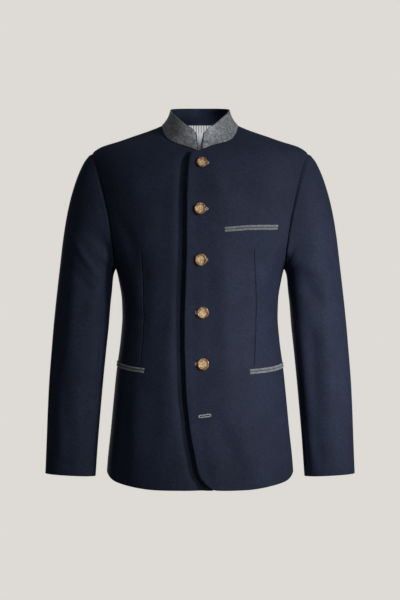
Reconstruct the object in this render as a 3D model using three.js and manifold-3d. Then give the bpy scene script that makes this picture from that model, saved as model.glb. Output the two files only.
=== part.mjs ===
// Stand-collar jacket, filled out and hollow, in millimetres.
// +Z up, the jacket faces -Y, +X is the wearer's left.
// The origin is the centre of the neck hole at the height of the side neck points.
import * as THREE from "three";
import Module from "manifold-3d";
import { mergeVertices } from "three/addons/utils/BufferGeometryUtils.js";

const wasm = await Module();
wasm.setup();

// Cloth walls and the gaps between sewn pieces.
const wall = 2.2;
const seamGap = 0.3;
const feltWall = 1.8;
const collarLining = 1.2;
const liningWall = 1;
const liningGap = 3.2;
const collarSeat = 0.7;
// How far the closing edge stands out and the front below it lies in.
const overStand = 2.3;
const overRoll = 1.6;
const underSink = 1.2;
// Heights of the main points of the cut.
const shoulderTipZ = -57;
const underarmZ = -293;
const sideHemZ = -705.5;
const centreBackHemZ = -714;
const backNeckRise = 11;
const backNeckFade = 60;
// Divisions of the edges, the same on both sides of every seam.
const neckSteps = 6;
const shoulderSteps = 7;
const armholeSteps = 10;
const sideSteps = 13;
const collarRows = 3;
// The two sleeve seams, as armhole divisions counted from the shoulder tip.
const frontSeamStep = 8;
const backSeamStep = 6;
const sleeveHeadRings = 5;
// Buttons, their holes in the closing front and the thread behind them.
const buttonSides = 20;
const buttonStand = 1.2;
const holeLength = 25;
const holeWidth = 3.6;
const slotDepth = 30;
const threadRadius = 1.4;
const threadSides = 8;
// Pocket jets, and the step of the measured normals.
const jetWidth = 4.9;
const jetParting = 0.35;
const jetSteps = 10;
const turnStep = 0.004;
const dropStep = 0.4;
const finePoints = 240;
const flatBend = 0.75;
const quarter = Math.PI / 2;

function table(columns, rows) {
  const names = columns.split(" ");
  return rows.map((row) => Object.fromEntries(names.map((name, i) => [name, row[i]])));
}

// Level slices of the body: half width, y of the side line, depths, roundness.
const slices = table("z half side front back power", [
  [0, 78, 0, 5, 72, 2],
  [-10, 104, 1.5, 25, 79, 2],
  [-20, 133, 3, 43, 84, 2],
  [-31, 164, 5, 61, 88, 2],
  [-45, 206, 7, 80, 92, 2],
  [-57, 221, 8, 93, 95, 2.05],
  [-80, 227, 8, 106, 99, 2.1],
  [-120, 227.5, 8, 118, 106, 2.15],
  [-187, 218, 8.5, 128, 110, 2.2],
  [-220, 210.5, 9, 131, 108.5, 2.25],
  [-250, 198, 9, 132.5, 105, 2.3],
  [-293, 172.5, 9, 132.5, 95, 2.35],
  [-315, 167, 9, 131, 86, 2.4],
  [-357, 160.4, 9, 128, 78, 2.4],
  [-390, 159.4, 9, 126, 77, 2.4],
  [-439, 163, 9, 126, 82, 2.4],
  [-500, 171, 9, 128, 91, 2.4],
  [-562, 177.3, 10, 131, 98, 2.4],
  [-623, 183, 10, 135, 104, 2.4],
  [-685, 189.5, 10, 138, 107, 2.4],
  [-745, 193.5, 10, 138, 108, 2.4],
]);
// Front neckline, from beyond the centre to the side neck point.
const neckline = table("x z", [
  [-34, -64.5], [-16.4, -61], [0, -58], [10, -54.5], [20, -50], [34, -45.2],
  [48, -40.8], [58, -36.3], [66, -30.3], [72, -21.5], [75.5, -11], [78, 0],
]);
// Armhole edge, the same for front and back.
const armhole = table("z x", [
  [-57, 221], [-64, 218], [-80, 212], [-120, 201], [-160, 191.5], [-187, 185.5],
  [-220, 180], [-250, 175.8], [-275, 173.2], [-293, 172.5],
]);
// Free edge of the closing front, and of the front that lies under it.
const overEdge = table("x z", [
  [-16.4, -61], [-20.6, -76], [-22.8, -96], [-24.5, -134], [-25.5, -170], [-25.8, -250],
  [-27.5, -319], [-29.8, -400], [-30, -440], [-28.2, -500], [-26.4, -546], [-23.6, -577],
  [-20.2, -607], [-16, -636], [-10.2, -665], [-4.6, -694], [1.2, -710], [9.6, -720.5],
]);
const overCorner = table("x z", [[9.6, -720.5], [19, -729.5], [32, -735.6]]);
const underEdge = table("x z", [
  [-30, -63.7], [-30, -120], [-30, -620], [-30, -716], [-29.5, -732],
]);
const underCorner = table("x z", [[-29.5, -732], [-25, -736.2]]);
// Hem height by the turn round the body in degrees, centre front to side.
const hemFront = table("turn z", [
  [14, -736.5], [24, -736], [36, -733], [44, -730], [52, -727], [60, -723.5],
  [66, -720], [72, -715.5], [80, -709.5], [90, sideHemZ],
]);
const hemBack = table("turn z", [
  [0, centreBackHemZ], [40, -713], [70, -708.5], [90, sideHemZ],
]);
// Sleeve rings: outer and inner point seen from the front, centre y, half depth.
const sleeveRings = table("step outX outZ inX inZ y deep power", [
  [0, 221, -57, 173.5, -294, 3, 66, 2],
  [1, 233.5, -69, 175, -297, 2.5, 67.5, 2],
  [2, 247, -95, 176, -300, 2, 68.5, 2],
  [3, 260, -135, 177, -304, 1, 68.5, 2.05],
  [4, 270, -180, 178, -309, 0.5, 68, 2.05],
  [5, 278, -230, 179.3, -318, 0, 67, 2.1],
  [6, 285, -285, 180.5, -335, -1, 65, 2.1],
  [7, 292, -340, 183, -362, -3, 62, 2.15],
  [8, 298, -400, 186.5, -408, -6, 58, 2.15],
  [9, 302, -460, 192, -462, -10, 54, 2.2],
  [10, 306, -520, 197.5, -520, -15, 50, 2.2],
  [11, 309, -580, 202.5, -578, -19, 46, 2.2],
  [12, 311.8, -640, 207.5, -640, -23, 42.5, 2.2],
  [13, 315, -709, 212.5, -714.5, -27, 39.5, 2.2],
]);
// Top edge of the collar from its front end to the centre back.
const collarTop = table("way x y z", [
  [0, 10, -80, -20.5], [0.08, 15.5, -78, -13], [0.2, 28.5, -70, -3.5],
  [0.35, 45, -49, 12.5], [0.5, 56.5, -21, 25.5], [0.6, 59.2, 3, 32.5],
  [0.7, 56.5, 25, 36.5], [0.85, 34, 50, 40], [1, 0, 60, 41],
]);
const collarEnd = { left: 4.2, right: 5.5 };
const collarEndTop = { left: -1.9, right: -1 };
const collarBow = -2.5;
const tabSetBack = 2;
// Buttons on the closing front, and the empty sixth hole.
const buttons = table("x z holeX", [
  [4.6, -83.5, 5.5], [0.2, -176, 4], [1.8, -277, 3], [5.8, -382, 2.5], [6.2, -485, 2.5],
]);
const emptyHole = { x: 9.5, z: -587.6, tilt: 0.12 };
const buttonProfile = table("radius height", [
  [7, 0], [10.4, 0.7], [12, 2.2], [11.6, 3.7], [10.4, 4.4], [9, 4.1], [7.6, 3.1],
]);
// Pocket mouths as turn in degrees and height.
const breastPocket = table("turn z", [[11.2, -216.8], [26, -212.6], [45.4, -211.2]]);
const overPocket = table("turn z", [[31.5, -500.5], [47, -498], [68, -493], [86.5, -488.4]]);
const underPocket = table("turn z", [[36.8, -498.5], [49, -496], [68, -490.6], [86.5, -485.4]]);
const liningReach = { topX: 58, bottomX: 100, top: -7, bottom: -118, across: 14, down: 5 };
const collarTab = { left: -16, right: 18, topZ: -21, sag: 3, bottomZ: -66, across: 6, down: 3 };

const navy = { color: 0x2d3244, roughness: 0.9 };
const grey = { color: 0x7b7d80, roughness: 0.95 };
const stripe = { color: 0xd5d5da, roughness: 0.6 };
const horn = { color: 0x96734f, roughness: 0.4 };
const thread = { color: 0x8d8a86, roughness: 0.8 };

const group = new THREE.Group();

function mix(a, b, share) {
  return a + (b - a) * share;
}

function ease(share) {
  const held = Math.min(Math.max(share, 0), 1);
  return held * held * (3 - 2 * held);
}

function radians(degrees) {
  return (degrees * Math.PI) / 180;
}

// A smooth curve through two columns of a table, without overshoot.
function curveThrough(rows, xName, yName) {
  const points = rows.map((row) => [row[xName], row[yName]]).sort((p, q) => p[0] - q[0]);
  const grades = points.slice(1).map((p, i) => (p[1] - points[i][1]) / (p[0] - points[i][0]));
  const slopes = points.map((point, i) => {
    const before = grades[Math.max(i - 1, 0)];
    const after = grades[Math.min(i, grades.length - 1)];
    return before * after > 0 ? (2 * before * after) / (before + after) : 0;
  });
  return (at) => {
    const held = Math.min(Math.max(at, points[0][0]), points[points.length - 1][0]);
    let i = 0;
    while (i < points.length - 2 && held > points[i + 1][0]) {
      i += 1;
    }
    const span = points[i + 1][0] - points[i][0];
    const t = (held - points[i][0]) / span;
    const rise = points[i + 1][1] - points[i][1];
    const bend = (slopes[i] * (1 - t) - slopes[i + 1] * t) * span + rise * (2 * t - 1);
    return points[i][1] + rise * t + bend * t * (1 - t);
  };
}

const halfAt = curveThrough(slices, "z", "half");
const sideAt = curveThrough(slices, "z", "side");
const frontAt = curveThrough(slices, "z", "front");
const backAt = curveThrough(slices, "z", "back");
const powerAt = curveThrough(slices, "z", "power");
const armholeAt = curveThrough(armhole, "z", "x");

// A point of the body's outer surface: turn 0 is centre front, two quarters centre back.
function bodyPoint(turn, z) {
  const round = 2 / powerAt(z);
  const across = Math.sign(Math.sin(turn)) * Math.abs(Math.sin(turn)) ** round;
  const ahead = Math.abs(Math.cos(turn)) ** round;
  const depth = Math.cos(turn) > 0 ? -frontAt(z) : backAt(z);
  const behind = ease((Math.abs(turn) / quarter - 1) * 2);
  const rise = backNeckRise * behind * ease(1 + z / backNeckFade);
  return new THREE.Vector3(halfAt(z) * across, sideAt(z) + depth * ahead, z + rise);
}

function bodyNormal(turn, z) {
  const high = Math.min(z + dropStep, 0);
  const along = bodyPoint(turn + turnStep, z).sub(bodyPoint(turn - turnStep, z));
  const up = bodyPoint(turn, high).sub(bodyPoint(turn, high - 2 * dropStep));
  return along.cross(up).normalize();
}

// The turn at which the front of the slice at height z has the given x.
function turnAt(x, z) {
  const share = Math.min(Math.abs(x) / halfAt(z), 1);
  return Math.sign(x) * Math.asin(share ** (powerAt(z) / 2));
}

// How far each front stands off the body's surface near the closing edge.
const overEdgeAt = curveThrough(overEdge, "z", "x");
const stands = {
  over: (x, z) => overStand * ease((78 - x) / 55) + overRoll * ease((overEdgeAt(z) + 20 - x) / 20),
  under: (x) => -underSink * ease((62 - x) / 35),
  plain: () => 0,
};

function panelPoint(stand, turn, z, depth) {
  const point = bodyPoint(turn, z);
  const off = Math.cos(turn) > 0 ? stands[stand](point.x, z) : 0;
  return point.addScaledVector(bodyNormal(turn, z), off - depth);
}

// Places along a path, spaced evenly by their length on the body's surface.
function spaced(path, count) {
  const places = Array.from({ length: finePoints + 1 }, (_, i) => path(i / finePoints));
  const lengths = [0];
  places.slice(1).forEach((place, i) => {
    const step = bodyPoint(place.turn, place.z).distanceTo(bodyPoint(places[i].turn, places[i].z));
    lengths.push(lengths[i] + step);
  });
  return Array.from({ length: count + 1 }, (_, k) => {
    const goal = (lengths[finePoints] * k) / count;
    let i = 0;
    while (i < finePoints - 1 && lengths[i + 1] < goal) {
      i += 1;
    }
    const share = Math.min((goal - lengths[i]) / (lengths[i + 1] - lengths[i]), 1);
    return path((i + share) / finePoints);
  });
}

function pathThrough(rows, toPlace) {
  const names = Object.keys(rows[0]);
  const ways = [0];
  rows.slice(1).forEach((row, i) => {
    ways.push(ways[i] + Math.hypot(...names.map((name) => row[name] - rows[i][name])));
  });
  const total = ways[ways.length - 1];
  const marked = rows.map((row, i) => ({ ...row, way: ways[i] / total }));
  const curves = names.map((name) => [name, curveThrough(marked, "way", name)]);
  return (way) => toPlace(Object.fromEntries(curves.map(([name, at]) => [name, at(way)])));
}

const fromX = ({ x, z }) => ({ turn: turnAt(x, z), z });
const fromTurn = ({ turn, z }) => ({ turn: radians(turn), z });
const straight = (from, to) => (way) => ({
  turn: mix(from.turn, to.turn, way),
  z: mix(from.z, to.z, way),
});

function armholePlace(way) {
  const z = mix(shoulderTipZ, underarmZ, (1 - Math.cos(way * Math.PI)) / 2);
  return { turn: turnAt(armholeAt(z), z), z };
}

const armholePlaces = spaced(armholePlace, armholeSteps);
const sidePlaces = spaced(
  straight({ turn: quarter, z: underarmZ }, { turn: quarter, z: sideHemZ }), sideSteps);
const shoulderPlaces = spaced(
  straight({ turn: quarter, z: 0 }, { turn: quarter, z: shoulderTipZ }), shoulderSteps);
const centreNeck = neckline.findIndex((row) => row.x === 0);
const frontNeckPlaces = spaced(pathThrough(neckline.slice(centreNeck), fromX), neckSteps);
const backNeckPlaces = spaced(straight({ turn: 0, z: 0 }, { turn: quarter, z: 0 }), neckSteps)
  .map((place) => ({ turn: Math.PI - place.turn, z: 0 }));

// The body laid out flat, so that a panel can be blended from its edges, and the way back.
function toFlat(turn, z) {
  return (halfAt(z) * Math.sin(turn * flatBend)) / Math.sin(quarter * flatBend);
}

function fromFlat(wide, z) {
  const share = (wide / halfAt(z)) * Math.sin(quarter * flatBend);
  return Math.min(Math.asin(Math.min(share, 1)) / flatBend, quarter);
}

// A net over a panel, blended from its four edges.
function panelNet(top, right, bottom, left, back) {
  const flat = ({ turn, z }) => [toFlat(back ? Math.PI - turn : turn, z), z];
  const [tops, rights, bottoms, lefts] = [top, right, bottom, left].map((edge) => edge.map(flat));
  const columns = tops.length - 1;
  const rows = lefts.length - 1;
  return lefts.map((leftPoint, j) => tops.map((topPoint, i) => {
    const u = i / columns;
    const v = j / rows;
    const [wide, z] = [0, 1].map((k) => mix(topPoint[k], bottoms[i][k], v)
      + mix(leftPoint[k], rights[j][k], u)
      - mix(mix(tops[0][k], tops[columns][k], u), mix(bottoms[0][k], bottoms[columns][k], u), v));
    const turn = fromFlat(wide, z);
    return { turn: back ? Math.PI - turn : turn, z };
  }));
}

// Draws the edges of a net of outer and inner points in, to leave the seam gap.
function drawIn(net, gaps) {
  const rows = net.length - 1;
  const columns = net[0].length - 1;
  const shifts = net.map((line) => line.map(() => new THREE.Vector3()));
  const pull = (j, i, jIn, iIn, along, gap) => {
    const here = net[j][i].outer;
    const before = along ? net[j][Math.max(i - 1, 0)] : net[Math.max(j - 1, 0)][i];
    const after = along ? net[j][Math.min(i + 1, columns)] : net[Math.min(j + 1, rows)][i];
    const edge = after.outer.clone().sub(before.outer).normalize();
    const inward = net[jIn][iIn].outer.clone().sub(here);
    inward.addScaledVector(edge, -inward.dot(edge)).normalize();
    shifts[j][i].addScaledVector(inward, gap);
  };
  for (let i = 0; i <= columns; i += 1) {
    pull(0, i, 1, i, true, gaps.top);
    pull(rows, i, rows - 1, i, true, gaps.bottom);
  }
  for (let j = 0; j <= rows; j += 1) {
    pull(j, 0, j, 1, false, gaps.left);
    pull(j, columns, j, columns - 1, false, gaps.right);
  }
  return net.map((line, j) => line.map(({ outer, inner }, i) => ({
    outer: outer.clone().add(shifts[j][i]),
    inner: inner.clone().add(shifts[j][i]),
  })));
}

// Closed body from triangles of points, turned to face out.
function bodyFrom(points, faces) {
  let volume = 0;
  faces.forEach(([a, b, c]) => {
    volume += points[a].dot(points[b].clone().cross(points[c]));
  });
  const turned = volume < 0 ? faces.map(([a, b, c]) => [a, c, b]) : faces;
  const geometry = new THREE.BufferGeometry();
  const numbers = points.flatMap((point) => point.toArray());
  geometry.setAttribute("position", new THREE.Float32BufferAttribute(numbers, 3));
  geometry.setIndex(turned.flat());
  return geometry;
}

// A wall of cloth between the outer and the inner points of a net.
function clothWall(net, side) {
  const columns = net[0].length;
  const size = net.length * columns;
  const cells = net.flat();
  const points = [...cells.map((cell) => cell.outer), ...cells.map((cell) => cell.inner)]
    .map((point) => new THREE.Vector3(point.x * side, point.y, point.z));
  const at = (j, i) => j * columns + i;
  const faces = [];
  const quad = (a, b, c, d) => {
    const short = points[a].distanceTo(points[c]) < points[b].distanceTo(points[d]);
    faces.push(...(short ? [[a, b, c], [a, c, d]] : [[a, b, d], [b, c, d]]));
  };
  for (let j = 0; j + 1 < net.length; j += 1) {
    for (let i = 0; i + 1 < columns; i += 1) {
      quad(at(j, i), at(j, i + 1), at(j + 1, i + 1), at(j + 1, i));
      quad(size + at(j + 1, i), size + at(j + 1, i + 1), size + at(j, i + 1), size + at(j, i));
    }
  }
  const last = net.length - 1;
  const rim = [
    ...net[0].map((_, i) => at(0, i)),
    ...net.slice(1).map((_, j) => at(j + 1, columns - 1)),
    ...net[0].slice(1).map((_, i) => at(last, columns - 2 - i)),
    ...net.slice(1, -1).map((_, j) => at(last - 1 - j, 0)),
  ];
  rim.forEach((here, i) => {
    const next = rim[(i + 1) % rim.length];
    quad(here, size + here, size + next, next);
  });
  return bodyFrom(points, faces);
}

function addMesh(name, geometry, look) {
  const separate = geometry.getIndex() ? geometry.toNonIndexed() : geometry;
  separate.computeVertexNormals();
  const mesh = new THREE.Mesh(separate, new THREE.MeshStandardMaterial(look));
  mesh.name = name;
  group.add(mesh);
}

function toManifold(geometry) {
  const bare = new THREE.BufferGeometry();
  bare.setAttribute("position", geometry.getAttribute("position"));
  bare.setIndex(geometry.getIndex());
  const merged = mergeVertices(bare, 0.0001);
  const vertProperties = new Float32Array(merged.getAttribute("position").array);
  const triVerts = new Uint32Array(merged.getIndex().array);
  return new wasm.Manifold(new wasm.Mesh({ numProp: 3, vertProperties, triVerts }));
}

function fromManifold(solid) {
  const mesh = solid.getMesh();
  const geometry = new THREE.BufferGeometry();
  geometry.setAttribute("position", new THREE.Float32BufferAttribute(mesh.vertProperties, 3));
  geometry.setIndex(new THREE.BufferAttribute(mesh.triVerts, 1));
  return geometry;
}

function panelWall(net, stand) {
  return net.map((line) => line.map(({ turn, z }) => ({
    outer: panelPoint(stand, turn, z, 0),
    inner: panelPoint(stand, turn, z, wall),
  })));
}

const sewn = seamGap / 2;

function frontPanel(edge, corner, stand) {
  const sideRows = [...armholePlaces, ...sidePlaces.slice(1)];
  const edgePath = pathThrough(edge, fromX);
  const left = spaced(edgePath, armholeSteps + sideSteps);
  const start = fromX({ x: edge[0].x, z: edge[0].z });
  const top = [start, ...frontNeckPlaces, ...shoulderPlaces.slice(1)];
  const cornerRows = corner.map(({ x, z }) => ({ turn: (turnAt(x, z) * 90) / quarter, z }));
  const bottom = spaced(pathThrough([...cornerRows, ...hemFront], fromTurn), top.length - 1);
  const net = panelNet(top, sideRows, bottom, left, false);
  return drawIn(panelWall(net, stand), { top: sewn, right: sewn, bottom: 0, left: 0 });
}

function backPanel() {
  const sideRows = [...armholePlaces, ...sidePlaces.slice(1)]
    .map(({ turn, z }) => ({ turn: Math.PI - turn, z }));
  const centre = straight({ turn: Math.PI, z: 0 }, { turn: Math.PI, z: centreBackHemZ });
  const left = spaced(centre, armholeSteps + sideSteps);
  const shoulder = shoulderPlaces.slice(1);
  const top = [...backNeckPlaces, ...shoulder.map(({ turn, z }) => ({ turn: Math.PI - turn, z }))];
  const hem = pathThrough(hemBack, ({ turn, z }) => ({ turn: Math.PI - radians(turn), z }));
  const net = panelNet(top, sideRows, spaced(hem, top.length - 1), left, true);
  return drawIn(panelWall(net, "plain"), { top: sewn, right: sewn, bottom: 0, left: sewn });
}

// Turns a shape that points along +Z to point out of the closing front, and seats it there.
function seated(geometry, x, z, height) {
  const turn = turnAt(x, z);
  const aim = new THREE.Quaternion().setFromUnitVectors(
    new THREE.Vector3(0, 0, 1), bodyNormal(turn, z));
  const seat = panelPoint("over", turn, z, -height);
  return geometry.applyQuaternion(aim).translate(seat.x, seat.y, seat.z);
}

// A slot through the closing front for one button.
function slot(x, z, tilt) {
  const outline = new THREE.Shape();
  const half = holeLength / 2 - holeWidth / 2;
  outline.absarc(half, 0, holeWidth / 2, -quarter, quarter, false);
  outline.absarc(-half, 0, holeWidth / 2, quarter, 3 * quarter, false);
  const bar = new THREE.ExtrudeGeometry(outline, {
    depth: slotDepth, bevelEnabled: false, curveSegments: 4,
  });
  bar.translate(0, 0, -slotDepth / 2);
  bar.rotateZ(tilt);
  return toManifold(seated(bar, x, z, 0));
}

let closing = toManifold(clothWall(frontPanel(overEdge, overCorner, "over"), 1));
buttons.forEach(({ holeX, z }) => {
  closing = closing.subtract(slot(holeX, z, 0));
});
closing = closing.subtract(slot(emptyHole.x, emptyHole.z, emptyHole.tilt));
addMesh("front_left", fromManifold(closing), navy);
addMesh("front_right", clothWall(frontPanel(underEdge, underCorner, "under"), -1), navy);
addMesh("back_left", clothWall(backPanel(), 1), navy);
addMesh("back_right", clothWall(backPanel(), -1), navy);

// Sleeves: slanting rings from the armhole to the cuff, turn 0 outside, a quarter in front.
const ringCurves = Object.fromEntries(["outX", "outZ", "inX", "inZ", "y", "deep", "power"]
  .map((name) => [name, curveThrough(sleeveRings, "step", name)]));

function ringPoint(step, turn) {
  const at = (name) => ringCurves[name](step);
  const round = 2 / at("power");
  const out = Math.sign(Math.cos(turn)) * Math.abs(Math.cos(turn)) ** round;
  const ahead = Math.sign(Math.sin(turn)) * Math.abs(Math.sin(turn)) ** round;
  const share = (1 + out) / 2;
  return new THREE.Vector3(
    mix(at("inX"), at("outX"), share), at("y") - at("deep") * ahead, mix(at("inZ"), at("outZ"), share));
}

function armholeMark(turn) {
  const way = (Math.abs(turn) / Math.PI) * armholeSteps;
  const i = Math.min(Math.floor(way), armholeSteps - 1);
  const [from, to] = [armholePlaces[i], armholePlaces[i + 1]];
  const place = { turn: mix(from.turn, to.turn, way - i), z: mix(from.z, to.z, way - i) };
  return turn < 0 ? { turn: Math.PI - place.turn, z: place.z } : place;
}

function sleevePoint(step, turn) {
  const mark = armholeMark(turn);
  const lead = bodyPoint(mark.turn, mark.z).sub(ringPoint(0, turn));
  lead.x += seamGap;
  return ringPoint(step, turn).addScaledVector(lead, 1 - ease(step / sleeveHeadRings));
}

function sleeveNormal(step, turn) {
  const [low, high] = [Math.max(step - 0.02, 0), Math.max(step - 0.02, 0) + 0.04];
  const along = sleevePoint(step, turn + 0.02).sub(sleevePoint(step, turn - 0.02));
  const down = sleevePoint(high, turn).sub(sleevePoint(low, turn));
  return along.cross(down).normalize();
}

function sleevePiece(fromStep, toStep) {
  const net = sleeveRings.map(({ step }) => {
    const line = [];
    for (let k = fromStep; k <= toStep; k += 1) {
      const turn = (k / armholeSteps) * Math.PI;
      const level = turn > Math.PI ? turn - 2 * Math.PI : turn;
      const outer = sleevePoint(step, level);
      const normal = sleeveNormal(step, level);
      const mark = armholeMark(level);
      const seam = step === 0 ? ease((100 - Math.abs((level * 90) / quarter)) / 50) : 0;
      normal.lerp(bodyNormal(mark.turn, mark.z), seam).normalize();
      line.push({ outer, inner: outer.clone().addScaledVector(normal, -wall) });
    }
    return line;
  });
  return drawIn(net, { top: 0, right: sewn, bottom: 0, left: sewn });
}

[["left", 1], ["right", -1]].forEach(([name, side]) => {
  const top = sleevePiece(-backSeamStep, frontSeamStep);
  const under = sleevePiece(frontSeamStep, 2 * armholeSteps - backSeamStep);
  addMesh(`sleeve_${name}_top`, clothWall(top, side), navy);
  addMesh(`sleeve_${name}_under`, clothWall(under, side), navy);
});

// Collar: a band that stands on the neckline, one half for each front.
const collarCurves = Object.fromEntries(["x", "y", "z"]
  .map((name) => [name, curveThrough(collarTop, "way", name)]));

function collarHalf(name, stand) {
  const first = fromX({ x: collarEnd[name], z: curveThrough(neckline, "x", "z")(collarEnd[name]) });
  const places = [first, ...frontNeckPlaces.slice(1), ...backNeckPlaces.slice(0, -1).reverse()];
  const feet = places.map(({ turn, z }) => {
    const foot = panelPoint(stand, turn, z, 0);
    const normal = bodyNormal(turn, z);
    const level = new THREE.Vector3(-foot.y, foot.x, 0).normalize();
    const off = new THREE.Vector3().crossVectors(level, normal).normalize();
    return foot.addScaledVector(off.z < 0 ? off.negate() : off, collarSeat);
  });
  const lengths = [0];
  feet.slice(1).forEach((foot, i) => {
    lengths.push(lengths[i] + foot.distanceTo(feet[i]));
  });
  return feet.map((foot, i) => {
    const way = lengths[i] / lengths[feet.length - 1];
    const nudge = collarEndTop[name] * ease(1 - way * 10);
    const top = new THREE.Vector3(
      collarCurves.x(way) + nudge, collarCurves.y(way), collarCurves.z(way));
    return { foot, top };
  });
}

const mirrored = ({ foot, top }) => ({
  foot: new THREE.Vector3(-foot.x, foot.y, foot.z),
  top: new THREE.Vector3(-top.x, top.y, top.z),
});
const rightHalf = collarHalf("right", "under").map(mirrored);
const collarPosts = [...collarHalf("left", "over"), ...rightHalf.slice(0, -1).reverse()];

function collarPoint(i, height) {
  const { foot, top } = collarPosts[i];
  const before = collarPosts[Math.max(i - 1, 0)];
  const after = collarPosts[Math.min(i + 1, collarPosts.length - 1)];
  const along = after.foot.clone().sub(before.foot).add(after.top).sub(before.top);
  const normal = along.cross(top.clone().sub(foot)).normalize();
  const point = foot.clone().lerp(top, height);
  point.addScaledVector(normal, collarBow * 4 * height * (1 - height));
  return { point, normal };
}

function collarBand(from, to, lowest, highest) {
  const net = [];
  for (let j = 0; j <= collarRows; j += 1) {
    const height = mix(lowest, highest, j / collarRows);
    net.push(collarPosts.map((_, i) => {
      const { point, normal } = collarPoint(i, height);
      return {
        outer: point.clone().addScaledVector(normal, -from),
        inner: point.clone().addScaledVector(normal, -to),
      };
    }));
  }
  return clothWall(net, 1);
}

const collarInnerFrom = feltWall + seamGap;
addMesh("collar_outer", collarBand(0, feltWall, 0, 1), grey);
addMesh("collar_inner",
  collarBand(collarInnerFrom, collarInnerFrom + collarLining, 0.02, 0.985), navy);

// The tab behind the gap of the collar, and the striped lining inside the back neck.
const tabIn = collarInnerFrom + collarLining + 3 * seamGap + underSink - collarBow + tabSetBack;
const tabNet = [];
for (let j = 0; j <= collarTab.down; j += 1) {
  const line = [];
  for (let i = 0; i <= collarTab.across; i += 1) {
    const share = i / collarTab.across;
    const x = mix(collarTab.left, collarTab.right, share);
    const topZ = collarTab.topZ - collarTab.sag * 4 * share * (1 - share);
    const z = mix(topZ, collarTab.bottomZ, j / collarTab.down);
    const y = mix(-86, -80, (z + 58) / 38) + (x * x) / mix(240, 75, (z + 66) / 45) + tabIn;
    line.push({
      outer: new THREE.Vector3(x, y, z),
      inner: new THREE.Vector3(x, y + liningWall, z),
    });
  }
  tabNet.push(line);
}
addMesh("collar_tab", clothWall(tabNet, 1), stripe);

const liningNet = [];
for (let j = 0; j <= liningReach.down; j += 1) {
  const line = [];
  const z = mix(liningReach.top, liningReach.bottom, j / liningReach.down);
  const edge = turnAt(mix(liningReach.topX, liningReach.bottomX, j / liningReach.down), z);
  for (let i = 0; i <= liningReach.across; i += 1) {
    const away = mix(-edge, edge, i / liningReach.across);
    const around = away < 0 ? -Math.PI - away : Math.PI - away;
    line.push({
      outer: panelPoint("plain", around, z, wall + liningGap),
      inner: panelPoint("plain", around, z, wall + liningGap + liningWall),
    });
  }
  liningNet.push(line);
}
addMesh("lining_back_neck", clothWall(liningNet, 1), stripe);

// Jets of a pocket mouth: two strips of felt on the front, parted by a dark line.
function jet(mouth, stand, up) {
  const path = pathThrough(mouth, fromTurn);
  const strip = [[0, 0.9], [0.5, 1.4], [1, 0.9]].map(([share, thick]) => {
    const off = up * (jetParting + jetWidth * share);
    return Array.from({ length: jetSteps + 1 }, (_, i) => {
      const { turn, z } = path(i / jetSteps);
      return {
        outer: panelPoint(stand, turn, z + off, -seamGap - thick),
        inner: panelPoint(stand, turn, z + off, -seamGap),
      };
    });
  });
  return strip;
}

[["upper", 1], ["lower", -1]].forEach(([name, up]) => {
  addMesh(`breast_pocket_${name}`, clothWall(jet(breastPocket, "over", up), 1), grey);
  addMesh(`pocket_left_${name}`, clothWall(jet(overPocket, "over", up), 1), grey);
  addMesh(`pocket_right_${name}`, clothWall(jet(underPocket, "under", up), -1), grey);
});

// A round body turned about +Z from a profile, its ends closed at the axis.
function turned(profile, sides) {
  const points = [new THREE.Vector3(0, 0, profile[0].height)];
  profile.forEach(({ radius, height }) => {
    for (let k = 0; k < sides; k += 1) {
      const turn = (2 * Math.PI * k) / sides;
      points.push(new THREE.Vector3(radius * Math.cos(turn), radius * Math.sin(turn), height));
    }
  });
  points.push(new THREE.Vector3(0, 0, profile[profile.length - 1].height));
  const faces = [];
  const end = points.length - 1;
  const at = (ring, k) => 1 + ring * sides + (k % sides);
  for (let k = 0; k < sides; k += 1) {
    faces.push([0, at(0, k + 1), at(0, k)], [end, at(profile.length - 1, k), at(profile.length - 1, k + 1)]);
    for (let ring = 0; ring + 1 < profile.length; ring += 1) {
      faces.push([at(ring, k), at(ring, k + 1), at(ring + 1, k + 1)]);
      faces.push([at(ring, k), at(ring + 1, k + 1), at(ring + 1, k)]);
    }
  }
  return bodyFrom(points, faces);
}

buttons.forEach(({ x, z }, i) => {
  addMesh(`button_${i + 1}`, seated(turned(buttonProfile, buttonSides), x, z, buttonStand), horn);
  const low = seamGap - underSink - stands.over(x, z);
  const high = buttonStand - seamGap;
  const shank = [{ radius: threadRadius, height: low }, { radius: threadRadius, height: high }];
  addMesh(`thread_${i + 1}`, seated(turned(shank, threadSides), x, z, 0), thread);
});

export default group;
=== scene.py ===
# Stand-collar jacket in navy wool and grey felt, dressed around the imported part.
# Garment sizes are in millimetres and become metres where a mesh is made.
import bisect
import bmesh
import bpy
import math
import random
from mathutils import Matrix, Vector


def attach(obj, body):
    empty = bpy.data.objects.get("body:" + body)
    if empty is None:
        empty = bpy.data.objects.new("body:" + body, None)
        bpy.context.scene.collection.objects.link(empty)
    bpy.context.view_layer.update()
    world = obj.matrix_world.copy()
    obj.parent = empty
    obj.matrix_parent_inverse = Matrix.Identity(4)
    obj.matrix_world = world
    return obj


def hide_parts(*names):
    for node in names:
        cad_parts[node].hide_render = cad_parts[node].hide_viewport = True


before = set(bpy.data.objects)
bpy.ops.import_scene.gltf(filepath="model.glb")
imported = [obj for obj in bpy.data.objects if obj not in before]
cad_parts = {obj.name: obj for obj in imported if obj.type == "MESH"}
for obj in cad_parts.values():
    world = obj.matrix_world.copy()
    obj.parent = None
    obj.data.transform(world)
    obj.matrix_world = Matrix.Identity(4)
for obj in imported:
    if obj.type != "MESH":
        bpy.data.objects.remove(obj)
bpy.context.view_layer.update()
print("stage: frame loaded")

metre = 0.001
quarter = math.pi / 2
random.seed(7)


# Small helpers.
def mix(a, b, share):
    return a + (b - a) * share


def ease(share):
    held = min(max(share, 0.0), 1.0)
    return held * held * (3 - 2 * held)


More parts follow.
